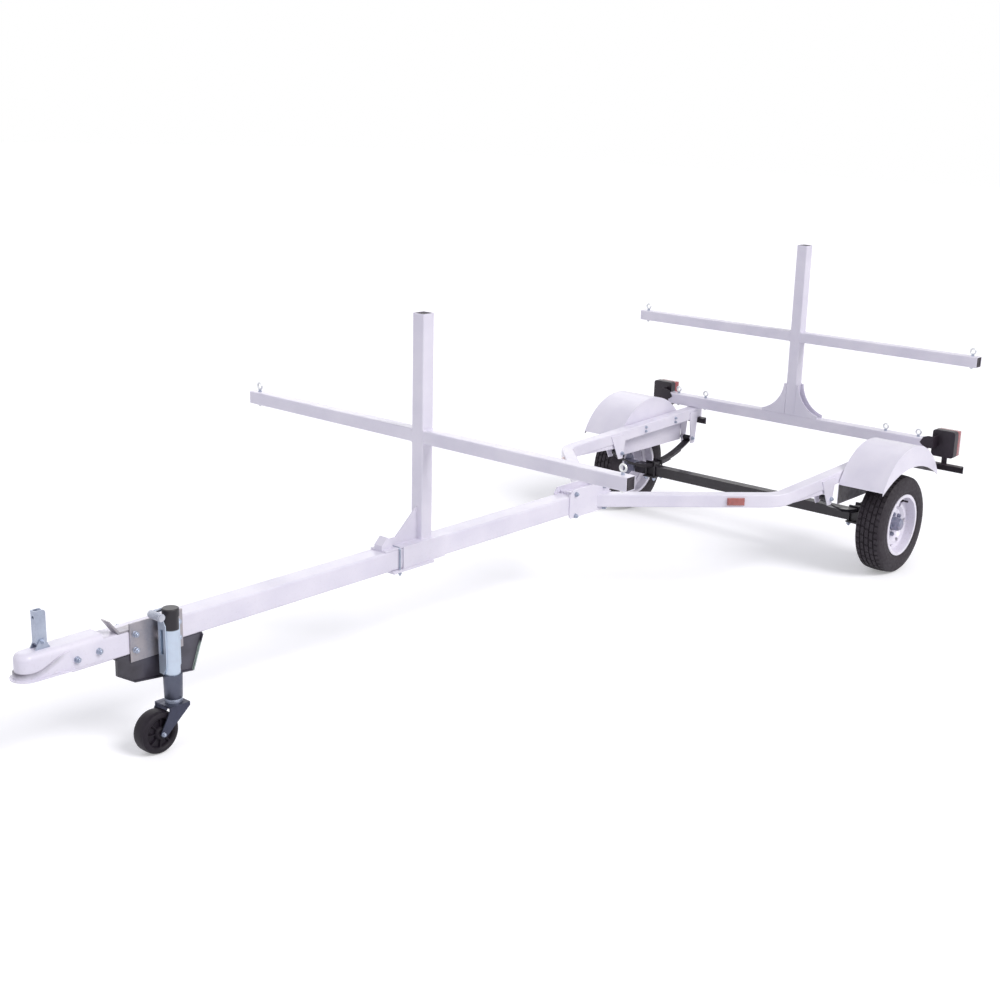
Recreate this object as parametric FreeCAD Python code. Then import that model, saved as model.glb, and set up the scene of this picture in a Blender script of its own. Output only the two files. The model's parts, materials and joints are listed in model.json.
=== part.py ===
import FreeCAD, Part
import math
import os

V = FreeCAD.Vector

# A light trailer for small boats: one square tongue, two bent side rails, a straight
# axle on leaf springs, and two T shaped racks that carry the boats side by side.
# Millimetres. X points forward to the coupler, Y to the left, Z up, and until the
# last step the origin is at the middle of the axle.

# Tongue
TONGUE_SIZE = 88.9
TONGUE_WALL = 4.0
TONGUE_HEIGHT = 265.0
TONGUE_REAR = 1420.0
TONGUE_LENGTH = 3020.0

# Side rails
RAIL_SIZE = 63.5
RAIL_WALL = 3.0
RAIL_OUT = 667.0
RAIL_BEND = 852.0
RAIL_BEND_RADIUS = 150.0
RAIL_RISE = 43.0
RAIL_LAP = 112.0
RAIL_REAR = -432.0
WEB_SETBACK = 62.0
WEB_DEPTH = 30.0
WEB_THICK = 4.0

# Saddle that joins the rails to the tongue
SADDLE_LENGTH = 310.0
SADDLE_OVERHANG = 5.0
SADDLE_PLATE = 6.0
SADDLE_BELOW = 17.0
SADDLE_ABOVE = 30.0
SADDLE_CHAMFER = 22.0
SADDLE_BOLT_RADIUS = 6.0

# Boat racks
POST_SIZE = 63.5
POST_WALL = 3.0
BAR_SIZE = 57.0
BAR_WALL = 3.0
BAR_HALF = 1080.0
BAR_BELOW_TOP = 516.0
FRONT_POST_X = 2688.0
FRONT_POST_TOP = 1277.0
REAR_POST_INSET = 34.0
REAR_POST_TOP = 1356.0
CROSS_OVERHANG = 173.0
GUSSET_THICK = 6.0
GUSSET_REACH = 148.0
GUSSET_RISE = 176.0
GUSSET_HOLLOW = 34.0
GUSSET_HEEL = 14.0

# Sliding base of the front post
SLEEVE_THICK = 6.0
SLEEVE_BEHIND = 96.0
SLEEVE_AHEAD = 158.0
SLEEVE_FIT = 0.3
SLEEVE_SOLE_LENGTH = 242.0
SLEEVE_SOLE_SETBACK = 37.0
SLEEVE_SOLE_THICK = 10.0
SLEEVE_SOLE_PROUD = 7.0
SLEEVE_TOE_LENGTH = 100.0
SLEEVE_LUG_LENGTH = 62.0
SLEEVE_LUG_HEIGHT = 50.0
SLEEVE_LUG_WIDTH = 44.0
SLEEVE_WEB_HEIGHT = 34.0
SLEEVE_GUSSET_RISE = 144.0

# Eye bolts for the straps
EYE_WIRE = 4.5
EYE_FIT = 0.3
EYE_RING = 14.0
EYE_STEM = 11.5
EYE_INSET = 38.0
EYE_NUT_ACROSS = 16.0
EYE_NUT_HEIGHT = 8.0
CROSS_EYE_INSET = (54.0, 248.0)

# Axle, springs and hangers
AXLE_SIZE = 57.0
AXLE_GAP = 13.0
SPINDLE_RADIUS = 16.0
SPINDLE_LENGTH = 110.0
LEAF_WIDTH = 44.0
LEAF_THICK = 7.0
LEAF_COUNT = 3
LEAF_CAMBER = 732.0
SHORT_LEAF_REACH = 245.0
SHORT_LEAF_STEP = 105.0
SPRING_FRONT = 385.0
SPRING_REAR = -335.0
SPRING_EYE_RADIUS = 15.0
SPRING_EYE_BORE = 8.3
HANGER_PLATE = 5.0
HANGER_HALF = 30.0
HANGER_NOSE = 100.0
HANGER_TOE = 26.0
HANGER_HEEL = 10.0
HANGER_DROP = 30.0
HANGER_LAP = 46.0
HANGER_BOLT_RADIUS = 8.0
CLAMP_PLATE = 8.0
CLAMP_ROD_RADIUS = 5.0
CLAMP_HALF_X = 37.0

# Road wheels
WHEEL_GAP = 73.75
TYRE_SECTION = 108.5
TYRE_WIDTH = 155.0
TYRE_SHOULDER = 26.0
FLANGE_HEIGHT = 12.0
BEAD_RADIUS = 152.0
WELL_DEPTH = 20.0
RIM_HALF = 72.0
RIM_THICK = 4.0
DISC_THICK = 4.0
DISC_FACE = 20.0
DISC_CROWN = 34.0
DISC_STEP = 16.0
DISC_EDGE = 20.0
VENT_COUNT = 5
VENT_RADIUS = 13.0
VENT_INSET = 30.0
STUD_COUNT = 5
STUD_CIRCLE = 57.15
NUT_ACROSS = 19.0
NUT_HEIGHT = 14.0
HUB_FLANGE_RADIUS = 72.0
HUB_FLANGE_THICK = 9.0
HUB_BARREL_RADIUS = 34.0
HUB_BARREL_BACK = 62.0
HUB_NOSE_RADIUS = 38.0
HUB_NOSE_OUT = 54.0
HUB_CAP_OUT = 70.0
HUB_FIT = 0.05

# Fenders
FENDER_RADIUS = 350.0
FENDER_CENTRE_Z = 80.0
FENDER_END_Z = 236.0
FENDER_THICK = 2.5
FENDER_COVER = 20.0
FENDER_PANEL_LOW = 130.0
SKIRT_MID_Z = 317.0
SKIRT_END_Z = 222.0
STRAP_WIDTH = 40.0
STRAP_HEIGHT = 50.0
STRAP_THICK = 5.0
STRAP_X = 150.0

# Lamps
LAMP_SETBACK = 22.0
LAMP_DEPTH = 42.0
LENS_DEPTH = 46.0
LAMP_WIDTH = 128.0
LAMP_HEIGHT = 146.0
LAMP_GAP = 18.0
LAMP_RISE = 9.3
LAMP_CORNER = 16.0
LENS_INSET = 5.0
ARM_OVERHANG = 60.0
ARM_INSET = 67.0
ARM_LEG = 40.0
ARM_THICK = 4.0
NECK_WIDTH = 30.0
NECK_OFFSET = 12.0
STAY_INSET = 27.0
STAY_LAP = 32.0
STAY_TAPER = 9.0
STAY_BELOW = 22.0
STAY_ABOVE = 43.0
MARKER_LENGTH = 85.0
MARKER_HEIGHT = 36.0
MARKER_DEPTH = 16.0
MARKER_ALONG = 0.77

# Coupler
COUPLER_PLATE = 4.0
COUPLER_LAP = 122.0
COUPLER_NECK = 15.0
COUPLER_TAPER = 135.0
COUPLER_NOSE_RADIUS = 42.0
COUPLER_RISE = 18.5
COUPLER_ROUND = 24.0
COUPLER_SIDE_DROP = 74.0
COUPLER_FLARE = 5.0
COUPLER_LIP = 15.0
COUPLER_LIP_THICK = 4.0
CREASE_LOW = 25.0
CREASE_HIGH = 69.0
CREASE_SWAY = 60.0
BALL_RADIUS = 25.4
SOCKET_FIT = 0.4
SOCKET_WALL = 7.0
SOCKET_SKIRT = 14.0
SOCKET_SEAT = 14.0
LATCH_SETBACK = 55.0
LATCH_PIVOT_UP = 25.0
LATCH_LENGTH = 110.0
LATCH_WIDTH = 26.0
LATCH_DEPTH = 40.0
LATCH_ROUND = 12.0
LATCH_SOLID = 24.0
LATCH_HOLE_RADIUS = 6.0
LATCH_THICK = 4.0
LATCH_PIN_RADIUS = 4.0
LATCH_FIT = 0.05
LATCH_EAR = 5.0
LATCH_EAR_FOOT = 28.0
LATCH_EAR_HEAD = 9.0
LATCH_GAP = 0.5

# Jack
JACK_SETBACK = 365.0
JACK_OUT = 103.0
JACK_TUBE_RADIUS = 28.5
JACK_TUBE_WALL = 3.0
JACK_TUBE_BELOW = 228.0
JACK_TUBE_ABOVE = 83.0
JACK_LEG_FIT = 0.05
JACK_LEG_WALL = 3.0
JACK_LEG_SINK = 18.0
JACK_COLLAR = 3.0
JACK_HEAD_RADIUS = 31.0
JACK_HEAD_HEIGHT = 30.0
JACK_HEAD_ROUND = 5.0
CRANK_HEIGHT = 15.0
CRANK_REACH = 63.0
CRANK_OFFSET = 40.0
CRANK_RADIUS = 6.0
CRANK_BEND = 8.0
CRANK_SHANK = 2.0
GRIP_RADIUS = 14.0
GRIP_LENGTH = 66.0
CHEEK_THICK = 5.0
CHEEK_SEAT = 1.0
CHEEK_BELOW = 135.0
CHEEK_ABOVE = 80.0
CHEEK_OUT = 9.0
CHEEK_WINDOW = 18.0
WINDOW_BELOW = 60.0
WINDOW_ABOVE = 35.0
CHEEK_CORNER = 30.0
MOUNT_PLATE = 6.0
MOUNT_AHEAD = 137.0
MOUNT_BEHIND = 90.0
MOUNT_RISE = 72.0
MOUNT_LEDGE_LENGTH = 43.0
MOUNT_TIP_RUN = 40.0
MOUNT_TIP_RISE = 56.0
PIVOT_RADIUS = 26.0
PIVOT_BORE = 12.0
SWING_GAP = 0.3
SKIRT_AHEAD = 195.0
SKIRT_BEHIND = 182.0
SKIRT_DEPTH = 135.0
SKIRT_FRONT_DEPTH = 106.0
SKIRT_CHIN = 64.0
SKIRT_FRONT_TAPER = 70.0
SKIRT_REAR_TAPER = 48.0
SKIRT_RIM = 8.0
SKIRT_RIM_THICK = 4.0
CASTER_RADIUS = 80.0
CASTER_WIDTH = 66.0
CASTER_TRAIL = 82.0
CASTER_BOLT_RADIUS = 6.0
CASTER_FIT = 0.05
FORK_THICK = 5.0
FORK_GAP = 7.0
FORK_DROP = 15.0
FORK_LEG = 91.6
FORK_LIP = 14.0
FORK_REAR = 38.0
FORK_FRONT = 50.0
FORK_EYE = 15.0
FORK_BOLT_PROUD = 5.0

RAIL_BOTTOM = TONGUE_HEIGHT - TONGUE_SIZE / 2
RAIL_Z = RAIL_BOTTOM + RAIL_SIZE / 2
TONGUE_TOP = TONGUE_HEIGHT + TONGUE_SIZE / 2
TONGUE_FRONT = TONGUE_REAR + TONGUE_LENGTH
RAIL_ROOT = TONGUE_REAR + RAIL_LAP
WEB_FRONT = RAIL_BEND - WEB_SETBACK
SADDLE_REAR = TONGUE_REAR - SADDLE_OVERHANG
SADDLE_FRONT = SADDLE_REAR + SADDLE_LENGTH
REAR_POST_X = RAIL_REAR + REAR_POST_INSET
SLEEVE_REAR = FRONT_POST_X - SLEEVE_BEHIND
SLEEVE_FRONT = FRONT_POST_X + SLEEVE_AHEAD
SLEEVE_TOE = SLEEVE_FRONT + SLEEVE_TOE_LENGTH
SLEEVE_LUG_REAR = SLEEVE_TOE - SLEEVE_LUG_LENGTH
SLEEVE_SOLE_FRONT = SLEEVE_TOE - SLEEVE_SOLE_SETBACK
SLEEVE_SOLE_REAR = SLEEVE_SOLE_FRONT - SLEEVE_SOLE_LENGTH
TYRE_RADIUS = BEAD_RADIUS + TYRE_SECTION
FLANGE_RADIUS = BEAD_RADIUS + FLANGE_HEIGHT
WELL_RADIUS = BEAD_RADIUS - WELL_DEPTH
VENT_CIRCLE = WELL_RADIUS - VENT_INSET
LAMP_FRONT = REAR_POST_X - LAMP_SETBACK
COUPLER_TOP = TONGUE_TOP + COUPLER_RISE
COUPLER_REAR = TONGUE_FRONT - COUPLER_LAP
COUPLER_SHOULDER = TONGUE_FRONT + COUPLER_NECK
COUPLER_BALL_X = COUPLER_SHOULDER + COUPLER_TAPER
LATCH_X = COUPLER_BALL_X - LATCH_SETBACK
JACK_X = TONGUE_FRONT - JACK_SETBACK
JACK_PIVOT_Z = TONGUE_HEIGHT
JACK_TUBE_BOTTOM = JACK_PIVOT_Z - JACK_TUBE_BELOW
JACK_TUBE_TOP = JACK_PIVOT_Z + JACK_TUBE_ABOVE
JACK_LEG_TOP = JACK_TUBE_TOP - JACK_LEG_SINK
CHEEK_LOW = JACK_PIVOT_Z - CHEEK_BELOW
CHEEK_HIGH = JACK_PIVOT_Z + CHEEK_ABOVE
CHEEK_WINDOW_LOW = JACK_PIVOT_Z - WINDOW_BELOW
CHEEK_WINDOW_HIGH = JACK_PIVOT_Z + WINDOW_ABOVE
FORK_TOP = JACK_TUBE_BOTTOM - FORK_DROP
CASTER_HEIGHT = FORK_TOP - FORK_LEG
MOUNT_REAR = JACK_X - MOUNT_BEHIND
MOUNT_FRONT = JACK_X + MOUNT_AHEAD
MOUNT_LEDGE = MOUNT_FRONT + MOUNT_LEDGE_LENGTH
MOUNT_TIP = MOUNT_LEDGE + MOUNT_TIP_RUN
SKIRT_REAR = JACK_X - SKIRT_BEHIND
SKIRT_FRONT = JACK_X + SKIRT_AHEAD
SADDLE_FACE = TONGUE_SIZE / 2 + SADDLE_PLATE
JACK_LEG_RADIUS = JACK_TUBE_RADIUS - JACK_TUBE_WALL - JACK_LEG_FIT
MAIN_LEAF_Z = AXLE_SIZE / 2 + LEAF_THICK * (LEAF_COUNT - 0.5)
FENDER_INNER = RAIL_OUT + RAIL_SIZE / 2 + STRAP_THICK
TRACK_HALF = FENDER_INNER + FENDER_THICK + WHEEL_GAP + TYRE_WIDTH / 2
FENDER_OUTER = TRACK_HALF + TYRE_WIDTH / 2 + FENDER_COVER
AXLE_END = TRACK_HALF - HUB_BARREL_BACK - AXLE_GAP
CROSS_HALF = RAIL_OUT + CROSS_OVERHANG
LAMP_INNER = CROSS_HALF + LAMP_GAP
LAMP_OUT = LAMP_INNER + LAMP_WIDTH / 2
COUPLER_LOW = TONGUE_TOP - COUPLER_SIDE_DROP
JACK_BACK = JACK_OUT - JACK_TUBE_RADIUS + CHEEK_SEAT - CHEEK_THICK


def rail_z(x):
    """Height of the rail's middle line at a place behind the bend."""
    return RAIL_Z + RAIL_RISE * (RAIL_BEND - x) / (RAIL_BEND - RAIL_REAR)


CROSS_Z = rail_z(REAR_POST_X - POST_SIZE / 2) + RAIL_SIZE / 2 + POST_SIZE / 2
LAMP_Z = CROSS_Z + LAMP_RISE
STAY_LOW = LAMP_Z - STAY_BELOW
STAY_HIGH = LAMP_Z + STAY_ABOVE


def box(x0, x1, y0, y1, z0, z1):
    return Part.makeBox(x1 - x0, y1 - y0, z1 - z0, V(x0, y0, z0))


def rod(start, end, radius):
    along = end - start
    return Part.makeCylinder(radius, along.Length, start, along)


def plate(points, thickness):
    """A flat plate with its outline given as points, thickened along a vector."""
    outline = Part.makePolygon(list(points) + [points[0]])
    return Part.Face(outline).extrude(thickness)


def hexagon(centre, along, across):
    """A six sided nut: the middle of one face, the way it is thick, its width over flats."""
    side = V(1, 0, 0)
    up = along.cross(side).normalize()
    corner = across / math.sqrt(3)
    points = []
    for count in range(6):
        angle = math.pi / 3 * count
        points.append(centre + side * (corner * math.cos(angle)) + up * (corner * math.sin(angle)))
    return plate(points, along)


def joined(first, *others):
    return first.fuse(list(others)).removeSplitter()


def mirrored(shape):
    return shape.mirror(V(0, 0, 0), V(0, 1, 0))


def rounded_square(size, radius, centre, right, up):
    """A closed square outline with rounded corners, in the plane of right and up."""
    half = size / 2
    flat = half - radius
    diagonal = flat + radius * math.sqrt(0.5)
    edges = []
    for turn in range(4):
        angle = math.pi / 2 * turn
        a = right * math.cos(angle) + up * math.sin(angle)
        b = up * math.cos(angle) - right * math.sin(angle)
        edges.append(Part.makeLine(centre + a * half - b * flat, centre + a * half + b * flat))
        arc = Part.Arc(centre + a * half + b * flat,
                       centre + a * diagonal + b * diagonal,
                       centre + a * flat + b * half)
        edges.append(arc.toShape())
    return Part.Wire(edges)


def straight_tube(start, end, size, wall):
    """A hollow square tube with rounded edges, open at both ends."""
    along = end - start
    up = V(1, 0, 0) if abs(along.x) < abs(along.z) else V(0, 0, 1)
    right = along.cross(up).normalize()
    outer = Part.Face(rounded_square(size, 2 * wall, start, right, up)).extrude(along)
    inner = Part.Face(rounded_square(size - 2 * wall, wall, start, right, up)).extrude(along)
    return outer.cut(inner)


def bent_path(points, radii):
    """Straight runs joined by tangent arcs at the inner points."""
    edges = []
    start = points[0]
    for before, corner, after, radius in zip(points, points[1:], points[2:], radii):
        back = (before - corner).normalize()
        ahead = (after - corner).normalize()
        half = back.getAngle(ahead) / 2
        reach = radius / math.tan(half)
        middle = (back + ahead).normalize() * (radius / math.sin(half) - radius)
        edges.append(Part.makeLine(start, corner + back * reach))
        arc = Part.Arc(corner + back * reach, corner + middle, corner + ahead * reach)
        edges.append(arc.toShape())
        start = corner + ahead * reach
    edges.append(Part.makeLine(start, points[-1]))
    return Part.Wire(edges)


def swept(path, outline):
    sweep = Part.BRepOffsetAPI.MakePipeShell(path)
    sweep.setBiNormalMode(V(0, 0, 1))
    sweep.add(outline)
    sweep.build()
    sweep.makeSolid()
    return Part.Solid(sweep.shape().Shells[0])


def rail_points():
    """The middle line of the left rail, from the saddle to its rear end."""
    return [
        V(RAIL_ROOT, SADDLE_FACE - RAIL_SIZE, RAIL_Z),
        V(RAIL_BEND, RAIL_OUT, RAIL_Z),
        V(RAIL_REAR, RAIL_OUT, rail_z(RAIL_REAR)),
    ]


def rail_web():
    """A tapered channel under the rail, deepest where it meets the front hanger."""
    half = RAIL_SIZE / 2 - 2 * RAIL_WALL
    end = SPRING_FRONT + HANGER_HALF
    top = rail_z(WEB_FRONT) - RAIL_SIZE / 2 + RAIL_WALL / 2
    high = rail_z(end) - RAIL_SIZE / 2 + RAIL_WALL / 2
    low = high - WEB_DEPTH
    run = WEB_FRONT - end
    slack = WEB_THICK * run / WEB_DEPTH
    y0 = RAIL_OUT - half
    outer = plate([V(WEB_FRONT, y0, top), V(end, y0, high), V(end, y0, low)], V(0, 2 * half, 0))
    y1 = y0 + WEB_THICK
    inner = plate([
        V(WEB_FRONT - slack, y1, top + RAIL_SIZE / 8),
        V(end - WEB_THICK, y1, high + RAIL_SIZE / 8),
        V(end - WEB_THICK, y1, low + WEB_THICK),
        V(WEB_FRONT - slack, y1, top),
    ], V(0, 2 * (half - WEB_THICK), 0))
    return outer.cut(inner)


def side_rail():
    points = rail_points()
    path = bent_path(points, [RAIL_BEND_RADIUS])
    along = (points[1] - points[0]).normalize()
    up = V(0, 0, 1)
    right = along.cross(up).normalize()
    outer = swept(path, rounded_square(RAIL_SIZE, 2 * RAIL_WALL, points[0], right, up))
    inner = swept(path, rounded_square(RAIL_SIZE - 2 * RAIL_WALL, RAIL_WALL, points[0], right, up))
    reach = 2 * RAIL_SIZE
    inside = box(RAIL_BEND, RAIL_ROOT + reach, -RAIL_OUT, SADDLE_FACE,
                 RAIL_Z - reach, RAIL_Z + reach)
    return outer.fuse(rail_web()).cut(inner).cut(inside)


def saddle():
    """Two clamping plates beside the tongue, drawn together by bolts over and under it."""
    low = RAIL_BOTTOM - SADDLE_BELOW
    high = TONGUE_TOP + SADDLE_ABOVE
    cut = SADDLE_CHAMFER
    left = plate([
        V(SADDLE_REAR, TONGUE_SIZE / 2, low + cut),
        V(SADDLE_REAR + cut, TONGUE_SIZE / 2, low),
        V(SADDLE_FRONT - cut / 2, TONGUE_SIZE / 2, low),
        V(SADDLE_FRONT, TONGUE_SIZE / 2, low + cut / 2),
        V(SADDLE_FRONT, TONGUE_SIZE / 2, high - cut),
        V(SADDLE_FRONT - cut, TONGUE_SIZE / 2, high),
        V(SADDLE_REAR + cut, TONGUE_SIZE / 2, high),
        V(SADDLE_REAR, TONGUE_SIZE / 2, high - cut),
    ], V(0, SADDLE_PLATE, 0))
    pieces = [mirrored(left)]
    head = SADDLE_BOLT_RADIUS
    for x in (SADDLE_REAR + 2 * cut, SADDLE_FRONT - 2 * cut):
        for z in (low + head + 2, TONGUE_TOP + head + 3):
            reach = SADDLE_FACE + head
            pieces.append(rod(V(x, -reach, z), V(x, reach, z), SADDLE_BOLT_RADIUS))
    return joined(left, *pieces)


def rack(x, bottom, top):
    """An upright post and its two level arms, drilled for an eye bolt near each end."""
    post = straight_tube(V(x, 0, bottom), V(x, 0, top), POST_SIZE, POST_WALL)
    z = top - BAR_BELOW_TOP
    arm = straight_tube(V(x, POST_SIZE / 2, z), V(x, BAR_HALF, z), BAR_SIZE, BAR_WALL)
    arm = arm.cut(eye_hole(x, BAR_HALF - EYE_INSET, z, BAR_SIZE))
    return post, Part.makeCompound([arm, mirrored(arm)])


def cross_member():
    """The level tube on the rails' rear ends, drilled for its eye bolts."""
    tube = straight_tube(V(REAR_POST_X, -CROSS_HALF, CROSS_Z), V(REAR_POST_X, CROSS_HALF, CROSS_Z),
                         POST_SIZE, POST_WALL)
    for inset in CROSS_EYE_INSET:
        hole = eye_hole(REAR_POST_X, CROSS_HALF - inset, CROSS_Z, POST_SIZE)
        tube = tube.cut(hole).cut(mirrored(hole))
    return tube


def rear_gussets():
    """Plates with a hollow curved edge that brace the rear post on the cross member."""
    z = CROSS_Z + POST_SIZE / 2
    side = POST_SIZE / 2
    pieces = []
    for sign in (1, -1):
        for x in (REAR_POST_X + POST_SIZE / 2 - GUSSET_THICK, REAR_POST_X - POST_SIZE / 2):
            corner = V(x, sign * side, z)
            toe = V(x, sign * (side + GUSSET_REACH), z)
            toe_top = toe + V(0, 0, GUSSET_HEEL)
            head = V(x, sign * side, z + GUSSET_RISE)
            head_out = head + V(0, sign * GUSSET_HEEL, 0)
            middle = (toe_top + head_out) * 0.5
            inward = (corner - middle).normalize() * GUSSET_HOLLOW
            edges = [
                Part.makeLine(corner, toe),
                Part.makeLine(toe, toe_top),
                Part.Arc(toe_top, middle + inward, head_out).toShape(),
                Part.makeLine(head_out, head),
                Part.makeLine(head, corner),
            ]
            pieces.append(Part.Face(Part.Wire(edges)).extrude(V(GUSSET_THICK, 0, 0)))
    return Part.makeCompound(pieces)


def front_sleeve():
    """The channel that straddles the tongue under the front post, with its toe and sole."""
    half = TONGUE_SIZE / 2 + SLEEVE_FIT
    side = half + SLEEVE_THICK
    top = TONGUE_TOP
    deck = top + SLEEVE_THICK
    channel = box(SLEEVE_REAR, SLEEVE_FRONT, -side, side, RAIL_BOTTOM - SLEEVE_FIT, deck)
    channel = channel.cut(box(SLEEVE_REAR, SLEEVE_FRONT, -half, half,
                              RAIL_BOTTOM - SLEEVE_FIT, top))
    toe = box(SLEEVE_FRONT, SLEEVE_TOE, -half, half, top, deck)
    ledge = side + SLEEVE_SOLE_PROUD
    sole = box(SLEEVE_SOLE_REAR, SLEEVE_SOLE_FRONT, -ledge, ledge,
               RAIL_BOTTOM - SLEEVE_FIT - SLEEVE_SOLE_THICK, RAIL_BOTTOM - SLEEVE_FIT)
    face = FRONT_POST_X + POST_SIZE / 2
    gusset = plate([
        V(face, -GUSSET_THICK / 2, deck), V(SLEEVE_LUG_REAR, -GUSSET_THICK / 2, deck),
        V(SLEEVE_LUG_REAR, -GUSSET_THICK / 2, deck + SLEEVE_WEB_HEIGHT),
        V(SLEEVE_FRONT, -GUSSET_THICK / 2, deck + SLEEVE_WEB_HEIGHT),
        V(face, -GUSSET_THICK / 2, deck + SLEEVE_GUSSET_RISE),
    ], V(0, GUSSET_THICK, 0))
    high = deck + SLEEVE_LUG_HEIGHT
    run = (SLEEVE_TOE - SLEEVE_LUG_REAR) / 2
    lug = plate([
        V(SLEEVE_LUG_REAR, -SLEEVE_LUG_WIDTH / 2, deck), V(SLEEVE_TOE, -SLEEVE_LUG_WIDTH / 2, deck),
        V(SLEEVE_TOE, -SLEEVE_LUG_WIDTH / 2, high - run),
        V(SLEEVE_TOE - run, -SLEEVE_LUG_WIDTH / 2, high),
        V(SLEEVE_LUG_REAR, -SLEEVE_LUG_WIDTH / 2, deck + SLEEVE_WEB_HEIGHT),
    ], V(0, SLEEVE_LUG_WIDTH, 0))
    return joined(channel, toe, sole, gusset, lug)


def eye_hole(x, y, z, size):
    """What is drilled through a square tube for the shank of an eye bolt."""
    reach = V(0, 0, size)
    return rod(V(x, y, z) - reach, V(x, y, z) + reach, EYE_WIRE + EYE_FIT)


def eye_bolt(x, y, z, size):
    """Its ring stands over a square tube, and a nut under the tube holds it."""
    top = z + size / 2
    low = z - size / 2
    shank = rod(V(x, y, low - EYE_NUT_HEIGHT - EYE_WIRE), V(x, y, top + EYE_STEM), EYE_WIRE)
    ring = Part.makeTorus(EYE_RING, EYE_WIRE, V(x, y, top + EYE_STEM + EYE_RING), V(1, 0, 0))
    nut = hexagon(V(x, y, low), V(0, 0, -EYE_NUT_HEIGHT), EYE_NUT_ACROSS)
    return joined(shank, ring, nut)


def bar_eyes(x, top):
    left = eye_bolt(x, BAR_HALF - EYE_INSET, top - BAR_BELOW_TOP, BAR_SIZE)
    return Part.makeCompound([left, mirrored(left)])


def cross_eyes():
    pieces = []
    for inset in CROSS_EYE_INSET:
        eye = eye_bolt(REAR_POST_X, CROSS_HALF - inset, CROSS_Z, POST_SIZE)
        pieces += [eye, mirrored(eye)]
    return Part.makeCompound(pieces)


def axle():
    half = AXLE_SIZE / 2
    beam = box(-half, half, -AXLE_END, AXLE_END, -half, half)
    reach = AXLE_END + SPINDLE_LENGTH
    spindle = rod(V(0, -reach, 0), V(0, reach, 0), SPINDLE_RADIUS)
    return joined(beam, spindle)


def spring_eye(x):
    """Middle of the eye that the main leaf is rolled into at one end."""
    radius = LEAF_CAMBER - SPRING_EYE_RADIUS
    return V(x, RAIL_OUT, MAIN_LEAF_Z + LEAF_CAMBER - math.sqrt(radius * radius - x * x))


def leaf_spring():
    y0 = RAIL_OUT - LEAF_WIDTH / 2
    across = V(0, LEAF_WIDTH, 0)
    centre = V(0, y0, MAIN_LEAF_Z + LEAF_CAMBER)
    reaches = [(SPRING_REAR, SPRING_FRONT)]
    for count in range(LEAF_COUNT - 1):
        reach = SHORT_LEAF_REACH - SHORT_LEAF_STEP * count
        reaches.append((-reach, reach))
    leaves = []
    for count, (rear, front) in enumerate(reaches):
        inner = LEAF_CAMBER - LEAF_THICK / 2 + LEAF_THICK * count
        ring = Part.makeCylinder(inner + LEAF_THICK, LEAF_WIDTH, centre, across)
        ring = ring.cut(Part.makeCylinder(inner, LEAF_WIDTH, centre, across))
        window = box(rear, front, y0, y0 + LEAF_WIDTH, 0, centre.z)
        leaves.append(ring.common(window))
    bores = []
    for x in (SPRING_REAR, SPRING_FRONT):
        start = spring_eye(x) - across / 2
        leaves.append(rod(start, start + across, SPRING_EYE_RADIUS))
        bores.append(rod(start, start + across, SPRING_EYE_BORE))
    return joined(leaves[0], *leaves[1:]).cut(bores)


def hanger(x, nose):
    """Two plates on the rail's sides with the bolt that carries one end of the spring."""
    pieces = []
    side = RAIL_SIZE / 2
    eye = spring_eye(x)
    low = eye.z - HANGER_DROP
    rail_low = rail_z(x) - side
    ahead = math.copysign(1, nose)
    for face in (RAIL_OUT - side - HANGER_PLATE, RAIL_OUT + side):
        pieces.append(plate([
            V(x + nose, face, rail_low + HANGER_LAP),
            V(x - ahead * HANGER_HALF, face, rail_low + HANGER_LAP),
            V(x - ahead * HANGER_HALF, face, rail_low),
            V(x - ahead * HANGER_HEEL, face, low),
            V(x + ahead * HANGER_TOE, face, low),
        ], V(0, HANGER_PLATE, 0)))
    reach = V(0, side + HANGER_PLATE + HANGER_BOLT_RADIUS, 0)
    return joined(rod(eye - reach, eye + reach, HANGER_BOLT_RADIUS), *pieces)


def spring_hangers():
    return Part.makeCompound([hanger(SPRING_FRONT, HANGER_NOSE), hanger(SPRING_REAR, -HANGER_NOSE / 2)])


def axle_clamp():
    """The plate under the axle and the two U bolts that hold the spring on it."""
    half_y = LEAF_WIDTH / 2 + CLAMP_ROD_RADIUS + 1
    low = -AXLE_SIZE / 2 - CLAMP_PLATE
    curve = LEAF_CAMBER - math.sqrt(LEAF_CAMBER ** 2 - CLAMP_HALF_X ** 2)
    high = MAIN_LEAF_Z + curve + LEAF_THICK / 2 + CLAMP_ROD_RADIUS
    edge = 2.5 * CLAMP_ROD_RADIUS
    pieces = [box(-CLAMP_HALF_X - edge, CLAMP_HALF_X + edge,
                  RAIL_OUT - half_y - edge, RAIL_OUT + half_y + edge, low, -AXLE_SIZE / 2)]
    for x in (-CLAMP_HALF_X, CLAMP_HALF_X):
        for side in (-half_y, half_y):
            y = RAIL_OUT + side
            pieces.append(rod(V(x, y, low - 3 * CLAMP_ROD_RADIUS), V(x, y, high), CLAMP_ROD_RADIUS))
            pieces.append(Part.makeSphere(CLAMP_ROD_RADIUS, V(x, y, high)))
        pieces.append(rod(V(x, RAIL_OUT - half_y, high), V(x, RAIL_OUT + half_y, high),
                          CLAMP_ROD_RADIUS))
    return joined(pieces[0], *pieces[1:])


def turned(outline):
    """A ring turned about the wheel's axle, from points of (along the axle, radius)."""
    points = [V(0, TRACK_HALF + y, r) for y, r in outline]
    face = Part.Face(Part.makePolygon(points + [points[0]]))
    return face.revolve(V(0, TRACK_HALF, 0), V(0, 1, 0), 360)


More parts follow.
